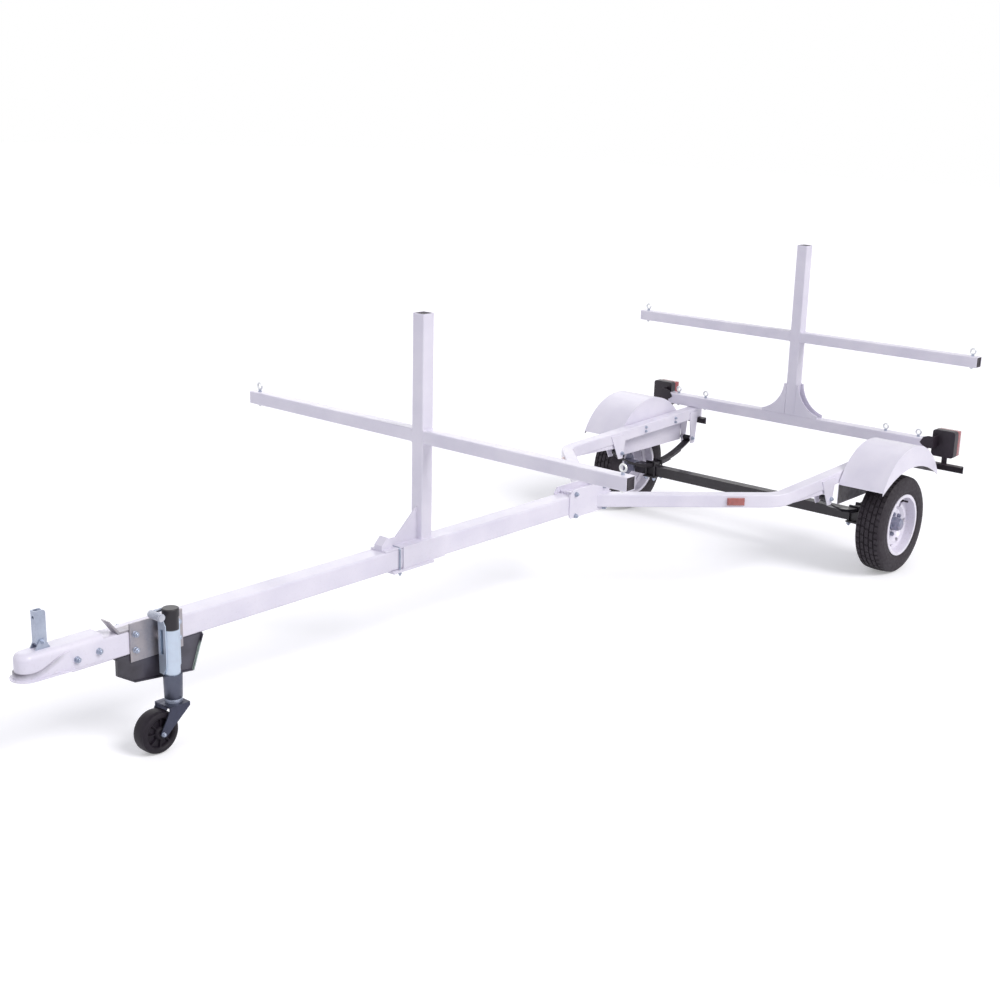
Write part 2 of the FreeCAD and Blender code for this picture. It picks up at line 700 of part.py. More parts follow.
def tyre():
    half = TYRE_WIDTH / 2
    seat = BEAD_RADIUS
    shoulder = TYRE_RADIUS - TYRE_SHOULDER / 2
    bulge = (FLANGE_RADIUS + shoulder) / 2
    start = V(0, TRACK_HALF + RIM_HALF - RIM_THICK, seat)
    side = V(0, TRACK_HALF + RIM_HALF - RIM_THICK, FLANGE_RADIUS)
    widest = V(0, TRACK_HALF + half, bulge)
    corner = V(0, TRACK_HALF + half - 9, shoulder)
    edge = V(0, TRACK_HALF + half - TYRE_SHOULDER, TYRE_RADIUS - 3)
    crown = V(0, TRACK_HALF, TYRE_RADIUS)

    def flip(point):
        return V(0, 2 * TRACK_HALF - point.y, point.z)

    edges = [
        Part.makeLine(start, side),
        Part.Arc(side, widest, corner).toShape(),
        Part.makeLine(corner, edge),
        Part.Arc(edge, crown, flip(edge)).toShape(),
        Part.makeLine(flip(edge), flip(corner)),
        Part.Arc(flip(corner), flip(widest), flip(side)).toShape(),
        Part.makeLine(flip(side), flip(start)),
        Part.makeLine(flip(start), start),
    ]
    face = Part.Face(Part.Wire(edges))
    return face.revolve(V(0, TRACK_HALF, 0), V(0, 1, 0), 360)


def rim():
    """The rolled rim and its pressed disc, with vents and stud holes."""
    lip = RIM_HALF - RIM_THICK
    outside = [
        (RIM_HALF, FLANGE_RADIUS), (lip, FLANGE_RADIUS), (lip, BEAD_RADIUS),
        (24, BEAD_RADIUS), (16, WELL_RADIUS),
        (-16, WELL_RADIUS), (-24, BEAD_RADIUS),
        (-lip, BEAD_RADIUS), (-lip, FLANGE_RADIUS), (-RIM_HALF, FLANGE_RADIUS),
    ]
    inside = [
        (-RIM_HALF, BEAD_RADIUS - RIM_THICK), (-26, BEAD_RADIUS - RIM_THICK),
        (-18, WELL_RADIUS - RIM_THICK), (18, WELL_RADIUS - RIM_THICK),
        (26, BEAD_RADIUS - RIM_THICK), (RIM_HALF, BEAD_RADIUS - RIM_THICK),
    ]
    barrel = turned(outside + inside)
    low = DISC_FACE
    high = DISC_CROWN
    seat = HUB_NOSE_RADIUS + 1
    well = WELL_RADIUS - RIM_THICK
    edge = WELL_RADIUS - DISC_EDGE
    crown = edge - DISC_STEP
    foot = crown - DISC_STEP
    lap = DISC_THICK / 2
    disc = turned([
        (low, seat), (low, foot), (high, crown), (high, edge), (0, well), (-DISC_THICK * 2, well),
        (-DISC_THICK * 2, well - DISC_THICK), (high - DISC_THICK, edge - DISC_THICK),
        (high - DISC_THICK, crown + lap), (low - DISC_THICK, foot + lap), (low - DISC_THICK, seat),
    ])
    wheel = barrel.fuse(disc)
    for count in range(VENT_COUNT):
        angle = 2 * math.pi * (count + 0.5) / VENT_COUNT
        x = VENT_CIRCLE * math.cos(angle)
        z = VENT_CIRCLE * math.sin(angle)
        hole = rod(V(x, TRACK_HALF - RIM_HALF, z), V(x, TRACK_HALF + RIM_HALF, z), VENT_RADIUS)
        wheel = wheel.cut(hole)
    return wheel.removeSplitter()


def hub():
    """The hub with its flange, bearing nose, dust cap and lug nuts."""
    back = DISC_FACE - DISC_THICK
    body = turned([
        (-HUB_BARREL_BACK, SPINDLE_RADIUS + HUB_FIT), (-HUB_BARREL_BACK, HUB_BARREL_RADIUS),
        (back - HUB_FLANGE_THICK, HUB_BARREL_RADIUS + 4), (back - HUB_FLANGE_THICK, HUB_FLANGE_RADIUS),
        (back, HUB_FLANGE_RADIUS), (back, HUB_NOSE_RADIUS), (HUB_NOSE_OUT, HUB_NOSE_RADIUS - 3),
        (HUB_NOSE_OUT, HUB_NOSE_RADIUS - 8), (HUB_CAP_OUT - 5, HUB_NOSE_RADIUS - 10),
        (HUB_CAP_OUT, HUB_NOSE_RADIUS - 18), (HUB_CAP_OUT, 0),
        (SPINDLE_LENGTH - TRACK_HALF + AXLE_END + 3, 0),
        (SPINDLE_LENGTH - TRACK_HALF + AXLE_END + 3, SPINDLE_RADIUS + HUB_FIT),
    ])
    pieces = []
    for count in range(STUD_COUNT):
        angle = 2 * math.pi * count / STUD_COUNT
        x = STUD_CIRCLE * math.cos(angle)
        z = STUD_CIRCLE * math.sin(angle)
        nut = hexagon(V(x, TRACK_HALF + DISC_FACE, z), V(0, NUT_HEIGHT, 0), NUT_ACROSS)
        stud = rod(V(x, TRACK_HALF + back - HUB_FLANGE_THICK, z),
                   V(x, TRACK_HALF + DISC_FACE + NUT_HEIGHT + 4, z), 6)
        pieces += [nut, stud]
    return joined(body, *pieces)


def rim_with_holes():
    """The rim, drilled where the studs pass through its disc."""
    wheel = rim()
    for count in range(STUD_COUNT):
        angle = 2 * math.pi * count / STUD_COUNT
        x = STUD_CIRCLE * math.cos(angle)
        z = STUD_CIRCLE * math.sin(angle)
        hole = rod(V(x, TRACK_HALF - RIM_HALF, z), V(x, TRACK_HALF + RIM_HALF, z), 6.3)
        wheel = wheel.cut(hole)
    return wheel


def fender_half_length():
    rise = FENDER_END_Z - FENDER_CENTRE_Z
    return math.sqrt(FENDER_RADIUS ** 2 - rise ** 2)


def fender():
    """A rolled plate over the wheel, with a deep outer skirt and a flat inner panel."""
    centre = V(0, FENDER_INNER, FENDER_CENTRE_Z)
    width = FENDER_OUTER - FENDER_INNER
    drum = Part.makeCylinder(FENDER_RADIUS, width, centre, V(0, 1, 0))
    hollow = Part.makeCylinder(FENDER_RADIUS - FENDER_THICK, width - FENDER_THICK, centre, V(0, 1, 0))
    half = fender_half_length()
    high = FENDER_CENTRE_Z + FENDER_RADIUS
    above = box(-half, half, FENDER_INNER, FENDER_OUTER, FENDER_END_Z, high)
    rise = SKIRT_MID_Z - SKIRT_END_Z
    arch_radius = (half * half + rise * rise) / (2 * rise)
    arch = Part.makeCylinder(arch_radius, width, V(0, FENDER_INNER, SKIRT_MID_Z - arch_radius),
                             V(0, 1, 0))
    skirt_zone = box(-half, half, FENDER_OUTER - FENDER_THICK, FENDER_OUTER, SKIRT_END_Z, high)
    skirt = drum.common(skirt_zone).cut(arch)
    panel = drum.common(box(-half, half, FENDER_INNER, FENDER_INNER + FENDER_THICK,
                            FENDER_PANEL_LOW, high))
    return joined(drum.cut(hollow).common(above).cut(skirt_zone), skirt, panel)


def fender_strap(x):
    """A flat packing that the fender's inner panel is bolted to the rail through."""
    face = RAIL_OUT + RAIL_SIZE / 2
    z = rail_z(x)
    return box(x - STRAP_WIDTH / 2, x + STRAP_WIDTH / 2, face, face + STRAP_THICK,
               z - STRAP_HEIGHT / 2, z + STRAP_HEIGHT / 2)


def fender_straps():
    return Part.makeCompound([fender_strap(STRAP_X), fender_strap(-STRAP_X)])


def lamp_arm():
    """An angle bar under the rail's rear end with a neck up to the lamp, and a stay inboard."""
    rear = RAIL_REAR
    inner = RAIL_OUT - ARM_INSET
    outer = LAMP_OUT + LAMP_WIDTH / 2 + ARM_OVERHANG
    top = rail_z(rear + ARM_LEG) - RAIL_SIZE / 2
    flat = box(rear, rear + ARM_LEG, inner, outer, top - ARM_THICK, top)
    web = box(rear, rear + ARM_THICK, inner, outer, top - ARM_LEG, top)
    y = LAMP_OUT + NECK_OFFSET
    neck = box(rear, rear + ARM_THICK, y - NECK_WIDTH / 2, y + NECK_WIDTH / 2,
               top - ARM_LEG, LAMP_Z - LAMP_HEIGHT / 2)
    return Part.makeCompound([joined(flat, web, neck), lamp_stay()])


def lamp_stay():
    """A small pointed plate on the cross member's face, turned back to the lamp's edge."""
    front = REAR_POST_X + POST_SIZE / 2
    outer = LAMP_INNER + STAY_LAP
    middle = (STAY_LOW + STAY_HIGH) / 2
    leaf = plate([
        V(front, outer, STAY_LOW), V(front, outer, STAY_HIGH), V(front, LAMP_INNER, STAY_HIGH),
        V(front, CROSS_HALF - STAY_TAPER, STAY_HIGH - STAY_TAPER),
        V(front, CROSS_HALF - STAY_INSET, middle - STAY_TAPER),
        V(front, CROSS_HALF - STAY_TAPER, STAY_LOW + STAY_TAPER), V(front, LAMP_INNER, STAY_LOW),
    ], V(ARM_THICK, 0, 0))
    turn = box(LAMP_FRONT, front + ARM_THICK, outer - ARM_THICK, outer, STAY_LOW, STAY_HIGH)
    return joined(leaf, turn)


def rounded_block(x0, x1, y, z, width, height, corner):
    block = box(x0, x1, y - width / 2, y + width / 2, z - height / 2, z + height / 2)
    edges = [e for e in block.Edges if abs(e.tangentAt(e.FirstParameter).x) > 0.9]
    return block.makeFillet(corner, edges)


def tail_lamp():
    back = LAMP_FRONT - LAMP_DEPTH
    return rounded_block(back, LAMP_FRONT, LAMP_OUT, LAMP_Z, LAMP_WIDTH, LAMP_HEIGHT, LAMP_CORNER)


def tail_lens():
    front = LAMP_FRONT - LAMP_DEPTH
    return rounded_block(front - LENS_DEPTH, front, LAMP_OUT, LAMP_Z, LAMP_WIDTH - 2 * LENS_INSET,
                         LAMP_HEIGHT - 2 * LENS_INSET, LAMP_CORNER - LENS_INSET)


def side_marker():
    """A small lamp on the outer face of the rail's slanting run."""
    start, corner = rail_points()[:2]
    along = (corner - start).normalize()
    out = V(-along.y, along.x, 0)
    if out.x < 0:
        out = out * -1
    face = start + (corner - start) * MARKER_ALONG + out * (RAIL_SIZE / 2)
    up = V(0, 0, 1)
    base = face - along * (MARKER_LENGTH / 2) - up * (MARKER_HEIGHT / 2)
    body = plate([
        base, base + along * MARKER_LENGTH,
        base + along * MARKER_LENGTH + up * MARKER_HEIGHT, base + up * MARKER_HEIGHT,
    ], out * MARKER_DEPTH)
    edges = [e for e in body.Edges if (e.CenterOfMass - face).dot(out) > MARKER_DEPTH * 0.9]
    return body.makeChamfer(MARKER_DEPTH * 0.4, edges)


def coupler_outline(extra):
    """The coupler seen from above: parallel sides that draw in to a round nose."""
    side = TONGUE_SIZE / 2 + COUPLER_PLATE + extra
    nose = COUPLER_NOSE_RADIUS + extra
    centre = V(COUPLER_BALL_X, 0, 0)
    shoulder = V(COUPLER_SHOULDER, side, 0)
    gap = centre - shoulder
    bearing = math.atan2(gap.y, gap.x)
    lean = bearing + math.asin(nose / gap.Length) + math.pi / 2
    touch = centre + V(math.cos(lean), math.sin(lean), 0) * nose
    other = V(touch.x, -touch.y, 0)
    tip = V(COUPLER_BALL_X + nose, 0, 0)
    rear = COUPLER_REAR
    edges = [
        Part.makeLine(V(rear, -side, 0), V(rear, side, 0)),
        Part.makeLine(V(rear, side, 0), shoulder),
        Part.makeLine(shoulder, touch),
        Part.Arc(touch, tip, other).toShape(),
        Part.makeLine(other, V(COUPLER_SHOULDER, -side, 0)),
        Part.makeLine(V(COUPLER_SHOULDER, -side, 0), V(rear, -side, 0)),
    ]
    return Part.Face(Part.Wire(edges))


def raised(face, low, high):
    solid = face.extrude(V(0, 0, high - low))
    solid.translate(V(0, 0, low))
    return solid


def coupler_shell(extra, low, high, rounding):
    """A solid of the coupler's outline whose upper edge is rounded over."""
    block = raised(coupler_outline(extra), low, high)
    edges = [e for e in block.Edges
             if e.BoundBox.ZMin > high - 0.01 and e.BoundBox.XMax > COUPLER_REAR + 1]
    return block.makeFillet(rounding, edges)


def coupler_flare_zone():
    """What lies under the crease: its edge rises in an S from the nose to the shoulder."""
    y = -2 * TONGUE_SIZE
    nose = COUPLER_BALL_X + 2 * COUPLER_NOSE_RADIUS
    low = COUPLER_LOW + CREASE_LOW
    high = COUPLER_LOW + CREASE_HIGH
    crease = Part.BezierCurve()
    crease.setPoles([
        V(COUPLER_SHOULDER, y, high), V(COUPLER_SHOULDER + CREASE_SWAY, y, high),
        V(COUPLER_BALL_X - CREASE_SWAY, y, low), V(COUPLER_BALL_X, y, low),
    ])
    heel = V(COUPLER_SHOULDER - COUPLER_LIP, y, COUPLER_LOW)
    edges = [
        Part.makeLine(heel, V(COUPLER_SHOULDER, y, high)),
        crease.toShape(),
        Part.makeLine(V(COUPLER_BALL_X, y, low), V(nose, y, low)),
        Part.makeLine(V(nose, y, low), V(nose, y, COUPLER_LOW)),
        Part.makeLine(V(nose, y, COUPLER_LOW), heel),
    ]
    return Part.Face(Part.Wire(edges)).extrude(V(0, -2 * y, 0))


def coupler_body():
    """The pressed coupler: a domed cover over the ball, flared under its crease to a lip."""
    low = COUPLER_LOW
    roof = COUPLER_TOP - COUPLER_PLATE
    cover = coupler_shell(0, low, COUPLER_TOP, COUPLER_ROUND)
    flare = raised(coupler_outline(COUPLER_FLARE), low, COUPLER_TOP).common(coupler_flare_zone())
    nose = COUPLER_BALL_X + 2 * COUPLER_NOSE_RADIUS
    lip = raised(coupler_outline(COUPLER_LIP), low, low + COUPLER_LIP_THICK)
    lip = lip.common(box(COUPLER_SHOULDER - COUPLER_LIP, nose, -TONGUE_SIZE, TONGUE_SIZE,
                         low, COUPLER_TOP))
    hollow = coupler_shell(-COUPLER_PLATE, low, roof, COUPLER_ROUND - COUPLER_PLATE)
    half = (TONGUE_SIZE - COUPLER_ROUND) / 2
    packing = box(COUPLER_REAR, COUPLER_SHOULDER, -half, half, TONGUE_TOP, roof)
    return joined(joined(cover, flare, lip).cut(hollow), packing)


def socket_z():
    """Height of the ball's middle when it is seated."""
    return COUPLER_TOP - COUPLER_PLATE - SOCKET_WALL - BALL_RADIUS - SOCKET_FIT


def coupler_socket():
    """The cup that seats the ball under the cover."""
    bore = BALL_RADIUS + SOCKET_FIT
    outer = bore + SOCKET_WALL
    z = socket_z()
    x = COUPLER_BALL_X
    skirt = rod(V(x, 0, z - SOCKET_SKIRT), V(x, 0, z), outer)
    seat = rod(V(x, 0, z), V(x, 0, COUPLER_TOP - COUPLER_PLATE), SOCKET_SEAT)
    body = joined(Part.makeSphere(outer, V(x, 0, z)).cut(rod(V(x, 0, z - outer), V(x, 0, z), 2 * outer)),
                  skirt, seat)
    inner = Part.makeSphere(bore, V(x, 0, z))
    return body.cut(inner).cut(rod(V(x, 0, z - 2 * SOCKET_SKIRT), V(x, 0, z), bore))


def latch_pivot():
    return V(LATCH_X, 0, COUPLER_TOP + LATCH_PIVOT_UP)


def latch_ears():
    """Two ears on the coupler, wide at the foot, with the pin that the latch turns on."""
    pivot = latch_pivot()
    pieces = []
    inner = LATCH_WIDTH / 2 + LATCH_GAP
    high = pivot.z + LATCH_EAR_HEAD
    for y in (inner, -inner - LATCH_EAR):
        ear = plate([
            V(LATCH_X - LATCH_EAR_FOOT, y, COUPLER_TOP), V(LATCH_X + LATCH_EAR_FOOT, y, COUPLER_TOP),
            V(LATCH_X + LATCH_EAR_HEAD, y, high), V(LATCH_X - LATCH_EAR_HEAD, y, high),
        ], V(0, LATCH_EAR, 0))
        pieces.append(ear)
    reach = inner + LATCH_EAR + 3
    pin = rod(pivot - V(0, reach, 0), pivot + V(0, reach, 0), LATCH_PIN_RADIUS)
    return joined(pin, *pieces)


def coupler_latch():
    """The hand lever: a deep channel, open behind, round at the foot where it turns."""
    pivot = latch_pivot()
    half = LATCH_WIDTH / 2
    depth = LATCH_DEPTH / 2
    top = pivot.z + LATCH_LENGTH
    body = box(LATCH_X - depth, LATCH_X + depth, -half, half, pivot.z, top)
    corner = [e for e in body.Edges if e.BoundBox.XMax < LATCH_X and e.BoundBox.ZMin > top - 1]
    body = body.makeFillet(LATCH_ROUND, corner)
    body = joined(body, rod(V(LATCH_X, -half, pivot.z), V(LATCH_X, half, pivot.z), depth))
    hollow = box(LATCH_X - 2 * depth, LATCH_X + depth - LATCH_THICK, -half + LATCH_THICK,
                 half - LATCH_THICK, pivot.z + LATCH_SOLID, top)
    z = top - 2 * LATCH_ROUND
    hole = rod(V(LATCH_X, 0, z), V(LATCH_X + 2 * depth, 0, z), LATCH_HOLE_RADIUS)
    pin = rod(pivot - V(0, 2 * half, 0), pivot + V(0, 2 * half, 0), LATCH_PIN_RADIUS + LATCH_FIT)
    return body.cut(hollow).cut(hole).cut(pin)


def jack_mount():
    """The plate on the tongue's side with the stub that the jack swings on."""
    face = TONGUE_SIZE / 2
    outer = face + MOUNT_PLATE
    low = JACK_PIVOT_Z - MOUNT_RISE
    high = JACK_PIVOT_Z + MOUNT_RISE
    body = box(MOUNT_REAR, MOUNT_FRONT, face, outer, low, high)
    top = TONGUE_TOP
    tab = plate([
        V(MOUNT_REAR, 0, top), V(MOUNT_LEDGE, 0, top), V(MOUNT_TIP, 0, top + MOUNT_TIP_RISE),
        V(MOUNT_TIP - MOUNT_PLATE, 0, top + MOUNT_TIP_RISE),
        V(MOUNT_LEDGE - MOUNT_PLATE, 0, top + MOUNT_PLATE), V(MOUNT_REAR, 0, top + MOUNT_PLATE),
    ], V(0, face, 0))
    stub_end = JACK_BACK - SWING_GAP
    centre = V(JACK_X, face, JACK_PIVOT_Z)
    stub = rod(centre, V(JACK_X, stub_end, JACK_PIVOT_Z), PIVOT_RADIUS)
    pin = rod(centre, V(JACK_X, JACK_BACK + CHEEK_THICK, JACK_PIVOT_Z), PIVOT_BORE - CASTER_FIT)
    return joined(body, tab, stub, pin)


def jack_skirt():
    """The dark pressed pan that hangs below the tongue and backs the jack."""
    top = RAIL_BOTTOM
    face = TONGUE_SIZE / 2
    outline = [
        (SKIRT_FRONT, top), (SKIRT_FRONT, top - SKIRT_CHIN),
        (SKIRT_FRONT - SKIRT_FRONT_TAPER, top - SKIRT_FRONT_DEPTH),
        (SKIRT_REAR + SKIRT_REAR_TAPER, top - SKIRT_DEPTH), (SKIRT_REAR, top),
    ]
    pan = plate([V(x, face - MOUNT_PLATE, z) for x, z in outline], V(0, MOUNT_PLATE + SKIRT_RIM, 0))
    points = [V(x, face, z) for x, z in outline]
    floor = Part.Face(Part.makePolygon(points + [points[0]])).makeOffset2D(-SKIRT_RIM_THICK)
    pocket = floor.extrude(V(0, 2 * SKIRT_RIM, 0))
    open_top = box(SKIRT_REAR, SKIRT_FRONT, face, face + SKIRT_RIM, top - SKIRT_RIM_THICK, top)
    flange = box(SKIRT_REAR, SKIRT_FRONT, -face, face, top - MOUNT_PLATE, top)
    return joined(pan.cut(pocket).cut(open_top), flange)


def jack_tube():
    """The outer tube in its swing bracket, the fixed half of the jack."""
    foot = V(JACK_X, JACK_OUT, JACK_TUBE_BOTTOM)
    height = JACK_TUBE_TOP - JACK_TUBE_BOTTOM
    tube = Part.makeCylinder(JACK_TUBE_RADIUS, height, foot)
    side = JACK_TUBE_RADIUS - CHEEK_SEAT
    outer = side + CHEEK_THICK
    web = box(JACK_X - outer, JACK_X + outer, JACK_BACK, JACK_BACK + CHEEK_THICK,
              CHEEK_LOW, CHEEK_HIGH)
    edge = JACK_OUT + CHEEK_OUT
    cheek = plate([
        V(JACK_X + side, JACK_BACK, CHEEK_LOW), V(JACK_X + side, edge - CHEEK_CORNER / 2, CHEEK_LOW),
        V(JACK_X + side, edge, CHEEK_LOW + CHEEK_CORNER), V(JACK_X + side, edge, CHEEK_HIGH - CHEEK_CORNER),
        V(JACK_X + side, edge - CHEEK_CORNER / 2, CHEEK_HIGH), V(JACK_X + side, JACK_BACK, CHEEK_HIGH),
    ], V(CHEEK_THICK, 0, 0))
    window = box(JACK_X - 2 * outer, JACK_X + 2 * outer, JACK_BACK + 2 * CHEEK_THICK,
                 JACK_BACK + 2 * CHEEK_THICK + CHEEK_WINDOW, CHEEK_WINDOW_LOW, CHEEK_WINDOW_HIGH)
    cheek = cheek.cut(window)
    rear = cheek.copy()
    rear.translate(V(-2 * side - CHEEK_THICK, 0, 0))
    body = joined(tube, web, cheek, rear)
    bore = Part.makeCylinder(JACK_TUBE_RADIUS - JACK_TUBE_WALL, height, foot)
    socket = rod(V(JACK_X, JACK_BACK, JACK_PIVOT_Z),
                 V(JACK_X, JACK_BACK + CHEEK_THICK, JACK_PIVOT_Z), PIVOT_BORE)
    return body.cut(bore).cut(socket)


def jack_head():
    """The cap on the jack's tube with its bent crank and a long grip."""
    base = V(JACK_X, JACK_OUT, JACK_TUBE_TOP)
    cap = Part.makeCylinder(JACK_HEAD_RADIUS, JACK_HEAD_HEIGHT, base)
    rim = [e for e in cap.Edges if e.BoundBox.ZMin > JACK_TUBE_TOP + JACK_HEAD_HEIGHT - 1]
    cap = cap.makeFillet(JACK_HEAD_ROUND, rim)
    z = JACK_TUBE_TOP + CRANK_HEIGHT
    inner = JACK_OUT - CRANK_OFFSET
    far = JACK_X + CRANK_REACH
    near = V(far, inner + CRANK_BEND + CRANK_SHANK, z)
    points = [V(JACK_X, JACK_OUT, z), V(JACK_X, inner, z), V(far, inner, z), near]
    path = bent_path(points, [CRANK_BEND, CRANK_BEND])
    wire = swept(path, Part.Wire(Part.makeCircle(CRANK_RADIUS, points[0], V(0, 1, 0))))
    grip = rod(near, near + V(0, GRIP_LENGTH, 0), GRIP_RADIUS)
    return joined(cap, wire, grip)


def jack_leg():
    """The inner tube that slides out of the jack, with the collar the fork turns under."""
    axis = V(JACK_X, JACK_OUT, 0)
    tube = Part.makeCylinder(JACK_LEG_RADIUS, JACK_LEG_TOP - FORK_TOP - SWING_GAP,
                             axis + V(0, 0, FORK_TOP + SWING_GAP))
    collar_top = JACK_TUBE_BOTTOM - SWING_GAP
    bore = Part.makeCylinder(JACK_LEG_RADIUS - JACK_LEG_WALL, JACK_LEG_TOP - collar_top,
                             axis + V(0, 0, collar_top))
    collar = Part.makeCylinder(JACK_TUBE_RADIUS + JACK_COLLAR, collar_top - FORK_TOP - SWING_GAP,
                               axis + V(0, 0, FORK_TOP + SWING_GAP))
    return joined(tube.cut(bore), collar)


def caster_axle():
    return V(JACK_X + CASTER_TRAIL, JACK_OUT, CASTER_HEIGHT)


def caster_fork():
    """The swivel plate and its two legs that slant to the wheel, with the axle bolt."""
    hub_point = caster_axle()
    inner = CASTER_WIDTH / 2 + FORK_GAP
    outer = inner + FORK_THICK
    rear = JACK_X - FORK_REAR
    front = JACK_X + FORK_FRONT
    top = box(rear, front, JACK_OUT - outer, JACK_OUT + outer, FORK_TOP - FORK_THICK, FORK_TOP)
    pieces = []
    for y in (JACK_OUT + inner, JACK_OUT - outer):
        leg = plate([
            V(rear, y, FORK_TOP), V(front, y, FORK_TOP), V(front, y, FORK_TOP - FORK_LIP),
            V(hub_point.x + FORK_EYE * 0.8, y, hub_point.z),
            V(hub_point.x, y, hub_point.z - FORK_EYE),
            V(hub_point.x - FORK_EYE, y, hub_point.z - FORK_EYE * 0.8),
            V(rear, y, FORK_TOP - FORK_LIP),
        ], V(0, FORK_THICK, 0))
        pieces.append(leg)
    reach = V(0, outer + FORK_BOLT_PROUD, 0)
    bolt = rod(hub_point - reach, hub_point + reach, CASTER_BOLT_RADIUS)
    return joined(top, bolt, *pieces)


def caster_wheel():
    hub_point = caster_axle()
    half = CASTER_WIDTH / 2
    y = JACK_OUT
    r = CASTER_RADIUS

    def at(along, radius):
        return V(hub_point.x, y + along, hub_point.z + radius)

    bore = CASTER_BOLT_RADIUS + CASTER_FIT
    points = [
        at(-half - 3, bore), at(-half - 3, 20), at(-half + 6, 26), at(-half + 6, r - 22),
        at(-half, r - 17), at(-half, r - 9), at(-half + 9, r),
        at(half - 9, r), at(half, r - 9), at(half, r - 17), at(half - 6, r - 22),
        at(half - 6, 26), at(half + 3, 20), at(half + 3, bore),
    ]
    face = Part.Face(Part.makePolygon(points + [points[0]]))
    return face.revolve(V(hub_point.x, y, hub_point.z), V(0, 1, 0), 360)


def stance():
    """Degrees that the frame leans nose down when the tyres and the caster share a floor."""
    wheel = caster_axle()
    reach = math.hypot(wheel.x, wheel.z)
    drop = TYRE_RADIUS - CASTER_RADIUS
    return math.degrees(math.atan2(wheel.z, wheel.x) + math.asin(drop / reach))


def pieces():
    """Every piece by name, standing level about the middle of the axle."""
    front_post, front_bar = rack(FRONT_POST_X, TONGUE_TOP + SLEEVE_THICK, FRONT_POST_TOP)
    rear_post, rear_bar = rack(REAR_POST_X, CROSS_Z + POST_SIZE / 2, REAR_POST_TOP)
    made = {
        "tongue_tube": straight_tube(V(TONGUE_REAR, 0, TONGUE_HEIGHT),
                                     V(TONGUE_FRONT, 0, TONGUE_HEIGHT), TONGUE_SIZE, TONGUE_WALL),
        "saddle_clamp": saddle(),
        "rear_crossmember": cross_member(),
        "rear_post": rear_post,
        "rear_crossbar": rear_bar,
        "rear_post_gussets": rear_gussets(),
        "front_post": front_post,
        "front_crossbar": front_bar,
        "front_post_base": front_sleeve(),
        "front_tie_down_eyes": bar_eyes(FRONT_POST_X, FRONT_POST_TOP),
        "rear_tie_down_eyes": bar_eyes(REAR_POST_X, REAR_POST_TOP),
        "crossmember_eyes": cross_eyes(),
        "axle_beam": axle(),
        "coupler_body": coupler_body(),
        "coupler_socket": coupler_socket(),
        "latch_ears": latch_ears(),
        "coupler_latch": coupler_latch(),
        "jack_mount": jack_mount(),
        "jack_backing_plate": jack_skirt(),
        "jack_outer_tube": jack_tube(),
        "jack_crank": jack_head(),
        "jack_inner_leg": jack_leg(),
        "caster_fork": caster_fork(),
        "caster_wheel": caster_wheel(),
    }
    left_side = {
        "side_rail": side_rail(),
        "leaf_spring": leaf_spring(),
        "spring_hangers": spring_hangers(),
        "axle_clamp": axle_clamp(),
        "tyre": tyre(),
        "rim": rim_with_holes(),
        "hub": hub(),
        "fender": fender(),
        "fender_straps": fender_straps(),
        "lamp_arm": lamp_arm(),
        "tail_lamp": tail_lamp(),
        "tail_lens": tail_lens(),
        "side_marker": side_marker(),
    }
    for name, shape in left_side.items():
        made["left_" + name] = shape
        made["right_" + name] = mirrored(shape)
    return made


def parked(shape):
    """The shape as the trailer stands: leaning by its stance, tyres on the floor."""
    copy = shape.copy()
    copy.rotate(V(0, 0, 0), V(0, 1, 0), stance())
    copy.translate(V(0, 0, TYRE_RADIUS))
    return copy


def centre_x(shapes):
    """Middle of the whole trailer's length, where the origin goes."""
    boxes = [shape.optimalBoundingBox(False) for shape in shapes]
    return (min(b.XMin for b in boxes) + max(b.XMax for b in boxes)) / 2


def main():
    os.makedirs("parts", exist_ok=True)
    standing = {name: parked(shape) for name, shape in pieces().items()}
    shift = V(-centre_x(standing.values()), 0, 0)
    for name, shape in standing.items():
        shape.translate(shift)
        shape.exportStep(os.path.join("parts", name + ".step"))


main()
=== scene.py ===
"""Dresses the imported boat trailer: finishes, tyre treads, fasteners, welds, lamps and the stage."""

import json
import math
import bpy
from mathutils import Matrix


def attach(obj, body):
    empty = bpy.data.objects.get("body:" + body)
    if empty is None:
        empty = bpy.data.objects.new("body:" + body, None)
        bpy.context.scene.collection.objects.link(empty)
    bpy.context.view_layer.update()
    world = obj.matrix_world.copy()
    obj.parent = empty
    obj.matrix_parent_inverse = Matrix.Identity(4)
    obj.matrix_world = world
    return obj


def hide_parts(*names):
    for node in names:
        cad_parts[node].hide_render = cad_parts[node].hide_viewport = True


bl_info = {
    "name": "Boat Trailer Dressing",
    "version": (1, 0, 0),
    "blender": (4, 5, 0),
    "location": "View3D > Sidebar > Trailer",
    "description": "Paint, rubber, fasteners, welds and lamps for a light boat trailer",
    "category": "Object",
}

import bpy
from mathutils import Matrix, Vector

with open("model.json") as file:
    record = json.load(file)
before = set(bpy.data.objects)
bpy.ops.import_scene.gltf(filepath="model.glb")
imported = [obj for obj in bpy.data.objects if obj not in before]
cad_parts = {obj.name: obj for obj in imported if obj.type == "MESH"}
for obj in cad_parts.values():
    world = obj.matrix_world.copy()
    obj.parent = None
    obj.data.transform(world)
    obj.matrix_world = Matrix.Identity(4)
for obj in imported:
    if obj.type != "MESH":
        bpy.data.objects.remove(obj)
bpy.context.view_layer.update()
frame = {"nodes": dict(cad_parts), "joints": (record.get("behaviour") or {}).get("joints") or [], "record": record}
JOINTS = {joint["name"]: joint for joint in frame["joints"]}

